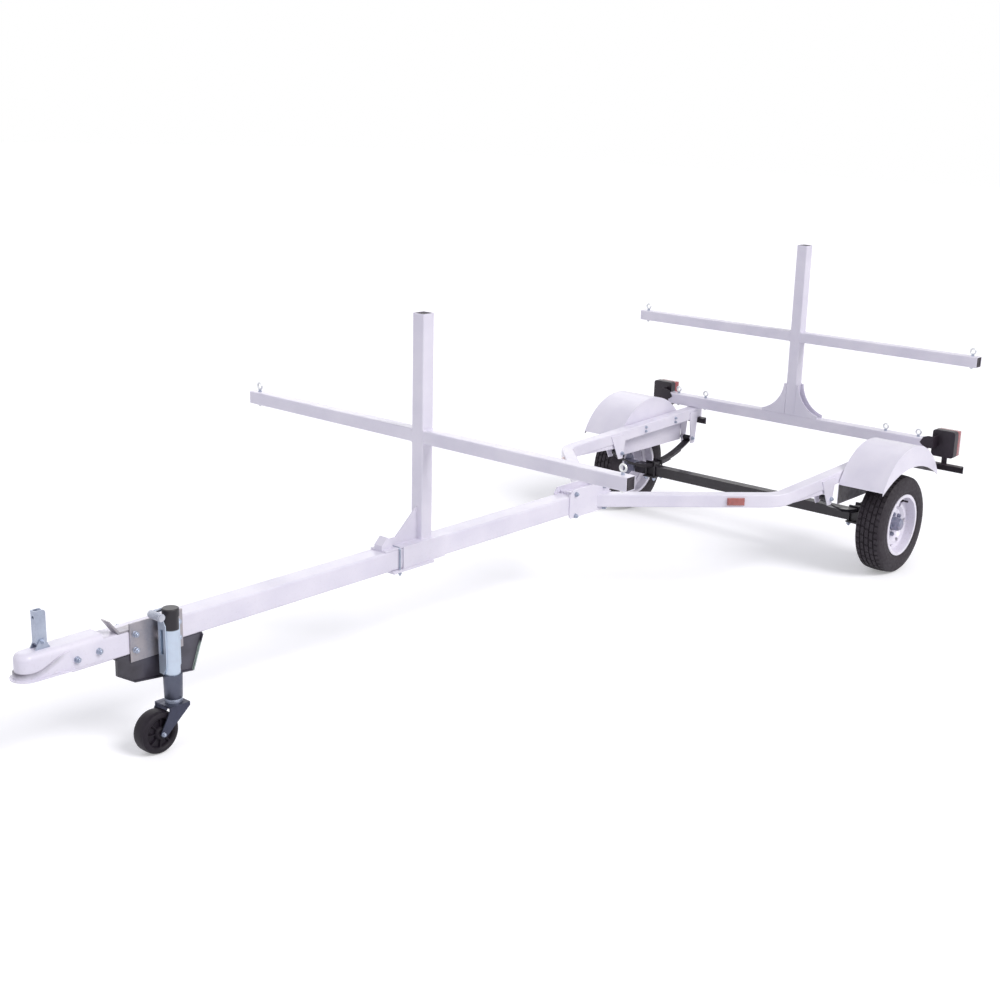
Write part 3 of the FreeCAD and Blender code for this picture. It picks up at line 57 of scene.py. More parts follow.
# The frame leans nose down on its jack. Pieces are modelled level about the axle's middle.
AXLE = Vector(JOINTS["left_wheel_spin"]["pos_m"])
AXLE.y = 0
DOWN = JOINTS["jack_extend"]["axis"]
LEAN = math.atan2(-DOWN[0], -DOWN[2])
STANCE = Matrix.Translation(AXLE) @ Matrix.Rotation(LEAN, 4, "Y")
LEVEL = STANCE.inverted()


def level_points(node):
    """A CAD node's points with the trailer held level."""
    return [LEVEL @ v.co for v in frame["nodes"][node].data.vertices]


def box_of(points):
    """Lowest and highest corners of a list of points."""
    return [Vector(pick(p[i] for p in points) for i in range(3)) for pick in (min, max)]


def level_box(node):
    """Lowest and highest corners of a CAD node with the trailer held level."""
    return box_of(level_points(node))


def ends(node, axis, side):
    """Middles of the flat ends with which a CAD node reaches furthest along one axis."""
    flat = 0.0006
    apart = 0.02
    points = level_points(node)
    far = max(side * p[axis] for p in points)
    groups = []
    for p in points:
        if side * p[axis] < far - flat:
            continue
        near = [g for g in groups if (g[0] - p).length < apart]
        if near:
            near[0].append(p)
        else:
            groups.append([p])
    return [(low + high) / 2 for low, high in map(box_of, groups)]


TONGUE_LOW, TONGUE_HIGH = level_box("tongue_tube")
TUBE_LOW, TUBE_HIGH = level_box("jack_outer_tube")

# Where the jack's middle line stands
JACK_X = (TUBE_LOW.x + TUBE_HIGH.x) / 2
JACK_OUT = (LEVEL @ Vector(JOINTS["jack_swing"]["pos_m"])).y

# Side of the side rails' square tube
RAIL = 0.0635


# Selecting, shaping and finishing

def deselect():
    bpy.ops.object.select_all(action="DESELECT")


def only(obj):
    deselect()
    obj.select_set(True)
    bpy.context.view_layer.objects.active = obj


def active():
    return bpy.context.view_layer.objects.active


def object_mode():
    bpy.ops.object.mode_set(mode="OBJECT")


def edit_all(obj):
    """Opens edit mode with the whole piece selected."""
    only(obj)
    bpy.ops.object.mode_set(mode="EDIT")
    bpy.ops.mesh.select_mode(type="VERT")
    bpy.ops.mesh.select_all(action="SELECT")


def close_up():
    """Merges the seams of a spun or drawn shape, turns its faces outwards and ends editing."""
    bpy.ops.mesh.select_all(action="SELECT")
    bpy.ops.mesh.remove_doubles(threshold=0.00002)
    bpy.ops.mesh.normals_make_consistent(inside=False)
    object_mode()


def select_faces(obj, test):
    """Selects the faces whose middle and normal pass the test, and opens edit mode."""
    only(obj)
    bpy.ops.object.mode_set(mode="EDIT")
    bpy.ops.mesh.select_mode(type="FACE")
    bpy.ops.mesh.select_all(action="DESELECT")
    object_mode()
    for face in obj.data.polygons:
        face.select = test(face.center, face.normal)
    bpy.ops.object.mode_set(mode="EDIT")


def apply_modifier(obj, kind, **settings):
    only(obj)
    modifier = obj.modifiers.new(kind.title(), kind)
    for key, value in settings.items():
        setattr(modifier, key, value)
    bpy.ops.object.modifier_apply(modifier=modifier.name)


def place(obj):
    """Puts the object's place in its mesh."""
    only(obj)
    bpy.ops.object.transform_apply(location=True, rotation=True, scale=True)
    return obj


def join(pieces, name):
    only(pieces[0])
    for piece in pieces:
        piece.select_set(True)
    if len(pieces) > 1:
        bpy.ops.object.join()
    result = active()
    result.name = name
    result.data.name = name
    return result


def block(low, high):
    """A box between two corners, to be shaped further."""
    deselect()
    bpy.ops.mesh.primitive_cube_add(size=1, location=(low + high) / 2, scale=high - low)
    return place(active())


def cylinder(radius, depth, centre, sides):
    """An upright cylinder, to be shaped further."""
    deselect()
    bpy.ops.mesh.primitive_cylinder_add(vertices=sides, radius=radius, depth=depth, location=centre)
    return place(active())


def inset(obj, test, thickness, depth, individual=False):
    """Insets the chosen faces and pushes them out, or in where the depth is negative."""
    select_faces(obj, test)
    bpy.ops.mesh.inset(thickness=thickness, depth=depth, use_individual=individual)
    object_mode()


def facing(axis, side):
    """Picks the flat faces that look along one axis."""
    return lambda centre, normal: normal[axis] * side > 0.95


def unit(axis, side=1):
    """One metre along an axis, or against it."""
    way = Vector((0, 0, 0))
    way[axis] = side
    return way


def lathe(profile, steps, centre, axis=1):
    """Turns a line of (along the axis, radius) points into a closed round shape."""
    along = unit(axis)
    spots = [centre + along * a + unit(0) * r for a, r in profile]
    deselect()
    bpy.ops.mesh.primitive_plane_add(size=0.001, location=spots[0])
    turned = place(active())
    edit_all(turned)
    bpy.ops.mesh.merge(type="CENTER")
    for before, after in zip(spots, spots[1:]):
        bpy.ops.mesh.extrude_vertices_move(TRANSFORM_OT_translate={"value": after - before})
    bpy.ops.mesh.select_all(action="SELECT")
    bpy.ops.mesh.spin(steps=steps, angle=2 * math.pi, center=centre, axis=along)
    close_up()
    return turned


def bent_rod(spots, radius, bend):
    """A round rod through square corners, drawn out straight and spun round each bend."""
    sides = 16
    steps = 6
    spots = [Vector(spot) for spot in spots]
    ways = [(after - before).normalized() for before, after in zip(spots, spots[1:])]
    turn = ways[0].to_track_quat("Z", "Y").to_euler()
    deselect()
    bpy.ops.mesh.primitive_circle_add(vertices=sides, radius=radius, fill_type="NGON",
                                      location=spots[0], rotation=turn)
    rod = place(active())
    edit_all(rod)
    here = spots[0]
    for number, way in enumerate(ways):
        last = number == len(ways) - 1
        stop = spots[number + 1] - (Vector() if last else way * bend)
        bpy.ops.mesh.extrude_region_move(TRANSFORM_OT_translate={"value": stop - here})
        if not last:
            after = ways[number + 1]
            bpy.ops.mesh.spin(steps=steps, angle=-math.pi / 2, center=stop + after * bend,
                              axis=way.cross(after))
            here = spots[number + 1] + after * bend
    close_up()
    return rod


def copy_to(master, spot, along, spin=0):
    """A copy of a piece that was modelled at the origin, standing along +Z."""
    only(master)
    bpy.ops.object.duplicate()
    copy = active()
    turn = Vector(along).to_track_quat("Z", "Y").to_matrix().to_4x4()
    copy.matrix_world = Matrix.Translation(spot) @ turn @ Matrix.Rotation(spin, 4, "Z")
    return place(copy)


def discard(obj):
    only(obj)
    bpy.ops.object.delete()


def mirror_copy(obj):
    """A copy on the trailer's other side, with its own mesh."""
    only(obj)
    bpy.ops.object.duplicate()
    copy = active()
    copy.scale.y = -1
    edit_all(place(copy))
    bpy.ops.mesh.flip_normals()
    object_mode()
    return copy


def hand_over(obj, body, slot, finish=None, replaces=(), smooth=35.0):
    """Stands a finished level piece on the trailer, gives it its finish and its body.

    A piece with no finish of its own takes the one of its slot.
    """
    only(obj)
    obj.matrix_world = STANCE @ obj.matrix_world
    place(obj)
    bpy.ops.object.shade_smooth_by_angle(angle=math.radians(smooth))
    obj.data.materials.clear()
    obj.data.materials.append(FINISHES[finish or slot])
    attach(obj, body)
    if replaces:
        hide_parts(*replaces)


def hand_over_pair(obj, name, body, slot, finish=None, replaces=(), smooth=35.0):
    """Hands over a left piece and its mirror copy. In a name, {} stands for the side."""
    for piece, side in ((obj, "left"), (mirror_copy(obj), "right")):
        piece.name = name.format(side)
        hand_over(piece, body.format(side), slot, finish, [n.format(side) for n in replaces], smooth)


# Finishes

def linear(colour):
    """Display colour to the linear values that a shader takes."""
    return [c / 12.92 if c <= 0.04045 else ((c + 0.055) / 1.055) ** 2.4 for c in colour] + [1.0]


def fill(node, **values):
    """Sets a node's sockets by their names, with _ for each space."""
    for key, value in values.items():
        node.inputs[key.replace("_", " ")].default_value = value
    return node


class Nodes:
    """The nodes of a material or of the world, in the making."""

    def __init__(self, owner):
        owner.use_nodes = True
        self.nodes = owner.node_tree.nodes
        self.links = owner.node_tree.links

    def link(self, source, target):
        self.links.new(source, target)

    def node(self, kind, **values):
        return fill(self.nodes.new(kind), **values)

    def operate(self, kind, operation, values):
        """A math node, with its sockets linked and its numbers and vectors set."""
        made = self.nodes.new(kind)
        made.operation = operation
        for socket, value in zip(made.inputs, values):
            if isinstance(value, bpy.types.NodeSocket):
                self.link(value, socket)
            else:
                socket.default_value = value
        return made

    def math(self, operation, *values):
        return self.operate("ShaderNodeMath", operation, values).outputs["Value"]

    def seen_directly(self):
        """1 where a ray comes from the camera, or from gloss or glass, and else 0."""
        ray = self.nodes.new("ShaderNodeLightPath").outputs
        gloss = self.math("MAXIMUM", ray["Is Glossy Ray"], ray["Is Transmission Ray"])
        return self.math("MAXIMUM", ray["Is Camera Ray"], gloss)


class Finish(Nodes):
    """A node material in the making, on object coordinates."""

    def __init__(self, name, roughness=0.5, metallic=0.0, coat=0.0):
        self.material = bpy.data.materials.new(name)
        super().__init__(self.material)
        self.shader = fill(self.nodes["Principled BSDF"], Roughness=roughness, Metallic=metallic,
                           Coat_Weight=coat)
        self.coordinates = self.nodes.new("ShaderNodeTexCoord").outputs["Object"]

    def vector(self, operation, *values):
        made = self.operate("ShaderNodeVectorMath", operation, values)
        single = operation in ("DISTANCE", "DOT_PRODUCT")
        return made.outputs["Value" if single else "Vector"]

    def axes(self, source):
        """The X, Y and Z of a vector."""
        made = self.nodes.new("ShaderNodeSeparateXYZ")
        self.link(source, made.inputs["Vector"])
        return made.outputs

    def level(self):
        """Coordinates with the trailer held level, from the axle's middle."""
        mapping = self.node("ShaderNodeMapping", Location=AXLE, Rotation=(0, LEAN, 0))
        mapping.vector_type = "TEXTURE"
        self.link(self.coordinates, mapping.inputs["Vector"])
        return mapping.outputs["Vector"]

    def away_from(self, spot, across=(1, 1, 1)):
        """Distance from a level point in metres, with each axis counted by its share."""
        scaled = self.vector("MULTIPLY", self.level(), across)
        return self.vector("DISTANCE", scaled, [s * a for s, a in zip(spot, across)])

    def faces(self, spot):
        """1 where the surface looks towards a point, and 0 where it looks away."""
        toward = self.vector("NORMALIZE", self.vector("SUBTRACT", spot, self.coordinates))
        normal = self.nodes.new("ShaderNodeNewGeometry").outputs["True Normal"]
        return self.span(self.vector("DOT_PRODUCT", toward, normal), 0.0, 0.12)

    def noise(self, scale, detail, roughness=0.5):
        made = self.node("ShaderNodeTexNoise", Scale=scale, Detail=detail, Roughness=roughness)
        self.link(self.coordinates, made.inputs["Vector"])
        return made.outputs["Fac"]

    def cells(self, scale):
        made = self.node("ShaderNodeTexVoronoi", Scale=scale)
        self.link(self.coordinates, made.inputs["Vector"])
        return made.outputs["Color"]

    def span(self, value, low, high, to_low=0.0, to_high=1.0, ease="LINEAR"):
        """Stretches a value from one range to another, and stops at its ends."""
        made = self.node("ShaderNodeMapRange", From_Min=low, From_Max=high,
                         To_Min=to_low, To_Max=to_high)
        made.interpolation_type = ease
        self.link(value, made.inputs["Value"])
        return made.outputs["Result"]

    def clouds(self, scale, detail, low, high, to_low=0.0, to_high=1.0, roughness=0.5):
        """Noise that is stretched from its own low and high to the values wanted."""
        return self.span(self.noise(scale, detail, roughness), low, high, to_low, to_high)

    def mix(self, factor, first, second):
        """Mixes two sources, of which each is a socket or a display colour."""
        made = self.nodes.new("ShaderNodeMix")
        made.data_type = "RGBA"
        self.link(factor, made.inputs["Factor"])
        for name, value in (("A", first), ("B", second)):
            socket = [s for s in made.inputs if s.name == name and s.type == "RGBA"][0]
            if isinstance(value, bpy.types.NodeSocket):
                self.link(value, socket)
            else:
                socket.default_value = linear(value)
        return [s for s in made.outputs if s.type == "RGBA"][0]

    def colour(self, source):
        self.link(source, self.shader.inputs["Base Color"])

    def roughness(self, source):
        self.link(source, self.shader.inputs["Roughness"])

    def bump(self, height, strength, distance=0.0004):
        made = self.node("ShaderNodeBump", Strength=strength, Distance=distance)
        self.link(height, made.inputs["Height"])
        self.link(made.outputs["Normal"], self.shader.inputs["Normal"])


def enamel(name, colour, shade, dirt, gloss, painted_light_mask=None, painted_light_colour=None):
    """Brushed-on enamel: a slight orange peel, cloudy tone, and road dust low down.

    Where a mask function is given, the colour after it is laid over the paint where it marks, as painted shade and
    painted highlight.
    """
    clean_above = 0.55
    dusty_below = 0.12
    most_dust = 0.55
    f = Finish(name, roughness=gloss, coat=0.25)
    base = f.mix(f.clouds(5.0, 4.0, 0.35, 0.65), colour, shade)
    low = f.span(f.axes(f.coordinates)["Z"], clean_above, dusty_below)
    specks = f.clouds(90.0, 5.0, 0.56, 0.72, roughness=0.7)
    dust = f.math("MULTIPLY", f.math("MULTIPLY", specks, low), most_dust)
    painted = f.mix(dust, base, dirt)
    # Painted shade and painted highlight, laid where the mask marks and broken up by patches
    if painted_light_mask:
        patchy = f.clouds(30.0, 4.0, 0.3, 0.65, 0.7, 1.0, roughness=0.6)
        painted = f.mix(f.math("MULTIPLY", painted_light_mask(f), patchy), painted, painted_light_colour)
    f.colour(painted)
    f.roughness(f.clouds(22.0, 3.0, 0.3, 0.7, gloss - 0.05, gloss + 0.1))
    f.bump(f.noise(420.0, 2.0), 0.12)
    return f.material


def zinc(name, light, dark):
    """Zinc plate with a faint spangle, a little dulled by weather."""
    f = Finish(name, metallic=0.8, roughness=0.38)
    spangle = f.span(f.cells(160.0), 0.0, 1.0, 0.35, 0.65)
    weather = f.clouds(12.0, 4.0, 0.3, 0.7, 0.25, 1.0)
    f.colour(f.mix(f.math("MULTIPLY", spangle, weather), light, dark))
    f.roughness(f.clouds(70.0, 3.0, 0.3, 0.7, 0.3, 0.5))
    f.bump(f.noise(260.0, 3.0), 0.1)
    return f.material


def rubber(name, colour, dusty):
    """Tyre rubber: fine grain, with patches of pale dust."""
    f = Finish(name, roughness=0.72)
    f.colour(f.mix(f.clouds(9.0, 5.0, 0.45, 0.75, 0.0, 0.5, roughness=0.65), colour, dusty))
    f.roughness(f.clouds(60.0, 3.0, 0.3, 0.7, 0.62, 0.82))
    f.bump(f.noise(700.0, 3.0), 0.25)
    return f.material


def moulded(name, colour, roughness, shine=0.5):
    """Moulded plastic with a fine grain."""
    f = Finish(name, roughness=roughness)
    fill(f.shader, Specular_IOR_Level=shine)
    lighter = [min(1.0, c * 1.5 + 0.02) for c in colour]
    f.colour(f.mix(f.clouds(14.0, 3.0, 0.35, 0.65, 0.0, 0.35), colour, lighter))
    f.bump(f.noise(500.0, 2.0), 0.18, 0.0003)
    return f.material


def lens(name, colour):
    """Coloured lamp plastic that glows a little in the light behind its surface."""
    f = Finish(name, roughness=0.16, coat=0.5)
    deep = [c * 0.6 for c in colour]
    f.colour(f.mix(f.clouds(30.0, 2.0, 0.35, 0.65, 0.0, 0.4), colour, deep))
    fill(f.shader, Subsurface_Weight=0.25, Subsurface_Radius=(0.004, 0.001, 0.001))
    return f.material


def cast(name, colour, dark):
    """Grey painted casting with a pebbled skin."""
    f = Finish(name, roughness=0.5, metallic=0.35)
    f.colour(f.mix(f.clouds(45.0, 4.0, 0.35, 0.7), colour, dark))
    f.bump(f.noise(320.0, 4.0), 0.3, 0.0005)
    return f.material


def paint_and_shade_over_zinc(name, light, dark, tone, metal, paint, where):
    """Zinc plate with a dark colour over it where the last function marks it: real paint on the crank's cap,
    painted shade on the top of the jack's tube.
    """
    f = Finish(name, metallic=metal, roughness=0.4)
    painted = where(f)
    f.colour(f.mix(painted, f.mix(f.clouds(40.0, 4.0, *tone), light, dark), paint))
    f.link(f.span(painted, 0.0, 1.0, metal, 0.0), f.shader.inputs["Metallic"])
    f.bump(f.noise(300.0, 3.0), 0.15)
    return f.material


def crank_cap(f):
    """Marks the black cap where the crank goes into the jack."""
    reach = 0.037
    soft = 0.0005
    middle = (JACK_X, JACK_OUT, TUBE_HIGH.z + 0.015)
    return f.span(f.away_from(middle), reach + soft, reach - soft)


def tube_top_shade(f):
    """Marks painted shade on the jack's tube itself, and not its bracket, near its top."""
    radius = 0.0297
    soft = 0.0005
    edge = TUBE_HIGH.z - 0.050
    blur = 0.002
    on_tube = f.span(f.away_from((JACK_X, JACK_OUT, 0), (1, 1, 0)), radius + soft, radius - soft)
    upper = f.span(f.away_from((0, 0, 0), (0, 0, 1)), edge - blur, edge + blur)
    return f.math("MULTIPLY", on_tube, upper)


def crease_and_nose_shade(f):
    """Marks painted shade below the coupler's S crease, most of it round the nose."""
    low, high = level_box("coupler_body")
    ball = high.x - 0.057
    shoulder = ball - 0.135
    crease_low = low.z + 0.025
    crease_high = low.z + 0.069
    spot = f.axes(f.level())
    crease = f.span(spot["X"], ball, shoulder, crease_low, crease_high, "SMOOTHSTEP")
    over = f.math("SUBTRACT", spot["Z"], crease)
    band = f.math("MULTIPLY", f.span(over, -0.020, -0.001), f.span(over, 0.004, 0.0))
    ahead = f.span(spot["X"], shoulder + 0.01, shoulder + 0.05, 0.0, 0.5)
    # Painted shade on the nose's front, below the round of its dome
    nose = (high.x - 0.014, -0.02, low.z + 0.024)
    round_nose = f.span(f.away_from(nose, (1, 0.8, 0.8)), 0.09, 0.03, 0.0, 0.45)
    return f.math("MULTIPLY", band, f.math("ADD", ahead, round_nose))


def pan_rim_painted_highlight(f):
    """Marks a painted highlight along the pan's slanted rear rim."""
    low, high = level_box("jack_backing_plate")
    taper = 0.048
    rim = 0.0052
    spot = f.axes(f.level())
    edge = f.span(spot["Z"], high.z, low.z, low.x, low.x + taper)
    ahead = f.math("SUBTRACT", spot["X"], edge)
    below = f.span(spot["Z"], high.z - 0.025, high.z - 0.045)
    return f.math("MULTIPLY", f.span(ahead, rim + 0.001, rim), below)


def swatch(name, description, default):
    """A colour that a user can change."""
    return bpy.props.FloatVectorProperty(name=name, description=description, subtype="COLOR",
                                         size=3, min=0, max=1, default=default)


def measure(name, description, default, unit="LENGTH"):
    """A size that a user can change."""
    return bpy.props.FloatProperty(name=name, description=description, unit=unit, default=default)


class TrailerColours(bpy.types.PropertyGroup):
    """Colours of the finishes, as they look on a display"""

    enamel: swatch("Enamel", "White paint of the frame, racks and fenders", (0.90, 0.885, 0.93))
    enamel_shade: swatch("Enamel shade", "Cloudier tone in the white paint", (0.86, 0.845, 0.90))
    road_dust: swatch("Road dust", "Fine dirt on the lower parts", (0.56, 0.52, 0.50))
    # Real paint on the axle, springs and crank cap, also laid as painted shade on the jack tube's top and in the
    # pan
    black_paint_and_shade: swatch("Black paint", "Axle and springs", (0.10, 0.08, 0.11))
    black_dust: swatch("Dust on black", "Dirt on the axle and springs", (0.24, 0.21, 0.22))
    zinc_light: swatch("Zinc", "Plated steel of the jack and fasteners", (0.72, 0.75, 0.81))
    zinc_dark: swatch("Dull zinc", "Weathered tone of the plating", (0.47, 0.50, 0.58))
    # Painted shade: the pan is coloured dark grey for the shadow it sits in
    pan: swatch("Pan", "Dark grey paint of the pan behind the jack", (0.30, 0.29, 0.34))
    # A painted highlight: the pale tone laid along the pan's slanted rear rim
    pan_rim_highlight_colour: swatch("Primer", "Pale primer where the pan's paint has worn off", (0.68, 0.74, 0.71))
    fork_light: swatch("Fork", "Grey plating of the jack wheel's fork", (0.28, 0.29, 0.355))
    fork_dark: swatch("Dull fork", "Darker tone of the fork", (0.19, 0.195, 0.25))
    tube: swatch("Jack tube", "Bright bluish plating of the jack's tube", (0.77, 0.82, 0.88))
    sleeve: swatch("Sleeve", "Grey plating of the sleeve on the jack", (0.37, 0.385, 0.44))
    mount: swatch("Mount", "Warm grey plating of the plate that holds the jack", (0.70, 0.67, 0.67))
    eye: swatch("Eye", "Bright plating of the tie-down eyes", (0.90, 0.90, 0.89))
    # A painted shade: the dark tone laid along the coupler's S crease and round its nose
    coupler_shade: swatch("Grime", "Greasy dirt in the coupler's crease", (0.30, 0.28, 0.33))
    splash: swatch("Splash", "Dirt thrown up inside the fenders", (0.43, 0.42, 0.41))
    # Painted shade: the darker tone laid on the fenders' faces that look towards the wheel
    caster: swatch("Jack wheel", "Black plastic of the jack's wheel", (0.065, 0.04, 0.08))
    tyre: swatch("Tyre", "Black rubber", (0.125, 0.095, 0.13))
    tyre_dust: swatch("Tyre dust", "Pale dust on the rubber", (0.22, 0.20, 0.225))
    hub: swatch("Hub", "Grey hub casting", (0.60, 0.59, 0.66))
    grip: swatch("Grip", "Pale grey plastic of the crank's grip", (0.72, 0.73, 0.77))
    # The tail lamp lens's own colour, darkened as painted shade for the shadow it sits in
    red: swatch("Red lens", "Tail lamp lens", (0.62, 0.11, 0.16))
    amber: swatch("Amber lens", "Side marker lens", (0.67, 0.37, 0.35))


EYES = ("front_tie_down_eyes", "rear_tie_down_eyes", "crossmember_eyes")

# By material slot, or by a piece's own name where it has another finish than its slot's
FINISHES = {}


class TRAILER_OT_finishes(bpy.types.Operator):
    """Makes the finishes and puts them on the trailer's own pieces"""

    bl_idname = "trailer.finishes"
    bl_label = "Finishes"

    def execute(self, context):
        c = context.scene.trailer_colours
        white = (c.enamel, c.enamel_shade, c.road_dust, 0.34)
        black = enamel("Black enamel", c.black_paint_and_shade, c.black_paint_and_shade, c.black_dust, 0.45)
        FINISHES.update({
            "frame_paint": enamel("White enamel", *white),
            "wheel_paint": enamel("Wheel enamel", c.enamel, c.enamel, c.road_dust, 0.3),
            "axle_paint": black,
            "spring_steel": black,
            "zinc": zinc("Zinc plate", c.zinc_light, c.zinc_dark),
            "hub_steel": cast("Grey casting", c.hub, c.zinc_dark),
            "tyre_rubber": rubber("Tyre rubber", c.tyre, c.tyre_dust),
            "caster_plastic": moulded("Caster plastic", c.caster, 0.55, shine=0.3),
            "grip_plastic": moulded("Grip plastic", c.tyre, 0.6),
            "lamp_housing": moulded("Lamp housing", c.tyre, 0.45),
            "black_plastic": moulded("Black plastic", c.tyre, 0.5),
            "grey_plastic": moulded("Grey plastic", c.grip, 0.5),
            "caster_fork": zinc("Dull zinc plate", c.fork_light, c.fork_dark),
            # The pan: painted shade in its dark grey, and a painted highlight along its rear rim
            "jack_backing_plate": enamel("Pan enamel", c.pan, c.black_paint_and_shade, c.black_dust, 0.4,
                                         pan_rim_painted_highlight, c.pan_rim_highlight_colour),
            "jack_crank": paint_and_shade_over_zinc("Crank", c.zinc_light, c.zinc_dark, (0.35, 0.65), 0.8,
                                       c.black_paint_and_shade, crank_cap),
            # The top of the jack's tube is painted shade: black laid on just below its cap
            "jack_outer_tube": paint_and_shade_over_zinc("Jack tube", c.tube, c.zinc_light, (0.3, 0.7, 0.0, 0.4),
                                            0.7, c.black_paint_and_shade, tube_top_shade),
            "jack_foot_sleeve": zinc("Sleeve plate", c.sleeve, c.fork_light),
            "jack_mount": zinc("Mount plate", c.mount, c.zinc_dark),
            # The coupler's enamel carries painted shade along its S crease and round its nose
            "coupler_body": enamel("Coupler enamel", *white, crease_and_nose_shade, c.coupler_shade),
            **dict.fromkeys(EYES, zinc("Bright zinc plate", c.eye, c.zinc_light)),
            "red_lens": lens("Red lens", c.red),
            "amber_lens": lens("Amber lens", c.amber),
        })
        # Each fender's faces that look towards its wheel get painted shade
        for side in ("left", "right"):
            hub = JOINTS[side + "_wheel_spin"]["pos_m"]
            FINISHES[side + "_fender"] = enamel(side.title() + " fender enamel", *white,
                                                lambda f, hub=hub: f.faces(hub), c.splash)
        for part in frame["record"]["subparts"]:
            materials = frame["nodes"][part["node"]].data.materials
            materials.clear()
            materials.append(FINISHES.get(part["node"]) or FINISHES[part["material_slot"]])
        return {"FINISHED"}


# Tyres and wheels

class TrailerTread(bpy.types.PropertyGroup):
    """Sizes of the road tyres' tread"""

    steps: bpy.props.IntProperty(name="Steps", description="Facets round a tyre", default=144)
    groove: measure("Groove", "Width of a groove round the tread", 0.007)
    depth: measure("Depth", "Depth of the grooves", 0.0065)
    notch: measure("Notch", "Depth of the notches across a rib", 0.005)


def sidewall(base, half, flange, shoulder):
    """Half a tyre's side from the rim out: bulged, with a rim guard and two thin rings."""
    count = 16
    raised = {3: 0.0016, 4: 0.0018, 9: 0.0008, 12: 0.0008}
    room = 0.002
    points = []
    for number in range(count + 1):
        share = number / count
        bulge = base + (half - base - room) * math.sin(math.pi * share)
        points.append((bulge + raised.get(number, 0), flange + (shoulder - flange) * share))
    return points


def tread(half, radius, t):
    """The tread's ribs and grooves from one side to the other."""
    def crown(y):
        return radius - 0.0075 * (y / half) ** 2

    shoulder = half * 0.78
    outer = half * 0.885
    edge = t.groove / 2
    points = [(outer, crown(half) - 0.006), (shoulder, crown(shoulder) - 0.0005)]
    for y in (half * 0.49, half * 0.17, -half * 0.17, -half * 0.49):
        floor = crown(y) - t.depth
        points += [(y + edge, crown(y)), (y + edge * 0.7, floor), (y - edge * 0.7, floor),
                   (y - edge, crown(y))]
    return points + [(-y, r) for y, r in reversed(points[:2])]


class TRAILER_OT_tyres(bpy.types.Operator):
    """Models the road tyres with their tread and side rings"""

    bl_idname = "trailer.tyres"
    bl_label = "Tyres"

    def execute(self, context):
        t = context.scene.trailer_tread
        low, high = level_box("left_tyre")
        rim = level_box("left_rim")[1]
        centre = Vector((0, (low.y + high.y) / 2, 0))
        half = (high.y - low.y) / 2
        radius = high.z
        base = rim.y - centre.y - 0.004
        side = [(base, rim.z - 0.012)] + sidewall(base, half, rim.z, radius - 0.0135)
        other = [(-y, r) for y, r in reversed(side)]
        tyre = lathe(side + tread(half, radius, t) + other + side[:1], t.steps, centre)
        turn = 2 * math.pi / t.steps
        tread_only = radius - 0.02

        def notched(edges, every, start):
            def test(c, n):
                index = round(math.atan2(c.z, c.x) / turn - 0.5)
                out = math.hypot(c.x, c.z)
                up = (n.x * c.x + n.z * c.z) / out
                across = edges[0] < c.y - centre.y < edges[1]
                return across and up > 0.8 and out > tread_only and index % every == start
            return test

        # Edges as shares of half the width, facets from notch to notch, and the border
        ribs = ((0.52, 0.80, 3, 0.0032), (0.22, 0.44, 4, 0.0036))
        for sign, start in ((1, 0), (-1, 2)):
            for inner, outer, every, border in ribs:
                edges = sorted((sign * half * inner, sign * half * outer))
                inset(tyre, notched(edges, every, start), border, -t.notch)
        inset(tyre, notched((-half * 0.12, half * 0.12), 4, 1), 0.0038, -t.notch)
        hand_over_pair(tyre, "{}_road_tyre", "{}_wheel", "tyre_rubber", replaces=["{}_tyre"],
                       smooth=28.0)
        return {"FINISHED"}


class TRAILER_OT_valves(bpy.types.Operator):
    """Models the valve stem with its cap on each rim"""

    bl_idname = "trailer.valves"
    bl_label = "Valves"

    def execute(self, context):
        low, high = level_box("left_rim")
        seat = high.z - 0.030
        out = (low.y + high.y) / 2 + 0.018
        angle = 2.2
        base = Vector((seat * math.cos(angle), out, seat * math.sin(angle)))
        profile = [(0, 0), (0, 0.0085), (0.004, 0.0085), (0.009, 0.0052), (0.022, 0.0044),
                   (0.022, 0.0050), (0.036, 0.0050), (0.0375, 0.0038), (0.0375, 0)]
        stem = lathe(profile, 16, base)
        hand_over_pair(stem, "{}_tyre_valve", "{}_wheel", "grip_plastic", "black_plastic")
        return {"FINISHED"}


class TRAILER_OT_caster(bpy.types.Operator):
    """Models the jack's wheel: a round tread, a deep web and eight ribs"""

    bl_idname = "trailer.caster"
    bl_label = "Jack wheel"

    def execute(self, context):
        low, high = level_box("caster_wheel")
        centre = (low + high) / 2
        radius = (high.z - low.z) / 2
        boss = (high.y - low.y) / 2
        half = boss - 0.003
        bore = 0.0064
        web_in = 0.024
        web_out = radius - 0.026
        side = [(boss, bore), (boss, 0.018), (half - 0.004, web_in),
                (half - 0.005, web_out), (half, radius - 0.020), (half, radius - 0.012),
                (half * 0.86, radius - 0.004), (half * 0.6, radius - 0.0006)]
        profile = side + [(half * 0.3, radius), (-half * 0.3, radius)]
        profile += [(-y, r) for y, r in reversed(side)] + side[:1]
        steps = 64
        ribs = 8
        wheel = lathe(profile, steps, centre)

        def panel(c, n):
            out = math.hypot(c.x - centre.x, c.z - centre.z)
            angle = math.degrees(math.atan2(c.z - centre.z, c.x - centre.x))
            index = int(angle // (360 / steps)) % (steps // ribs)
            return abs(n.y) > 0.9 and web_in < out < web_out and index != 0

        inset(wheel, panel, 0.002, -0.008)
        wheel.name = "jack_wheel"
        hand_over(wheel, "caster", "caster_plastic", replaces=["caster_wheel"])
        return {"FINISHED"}


# Fasteners, plugs and welds

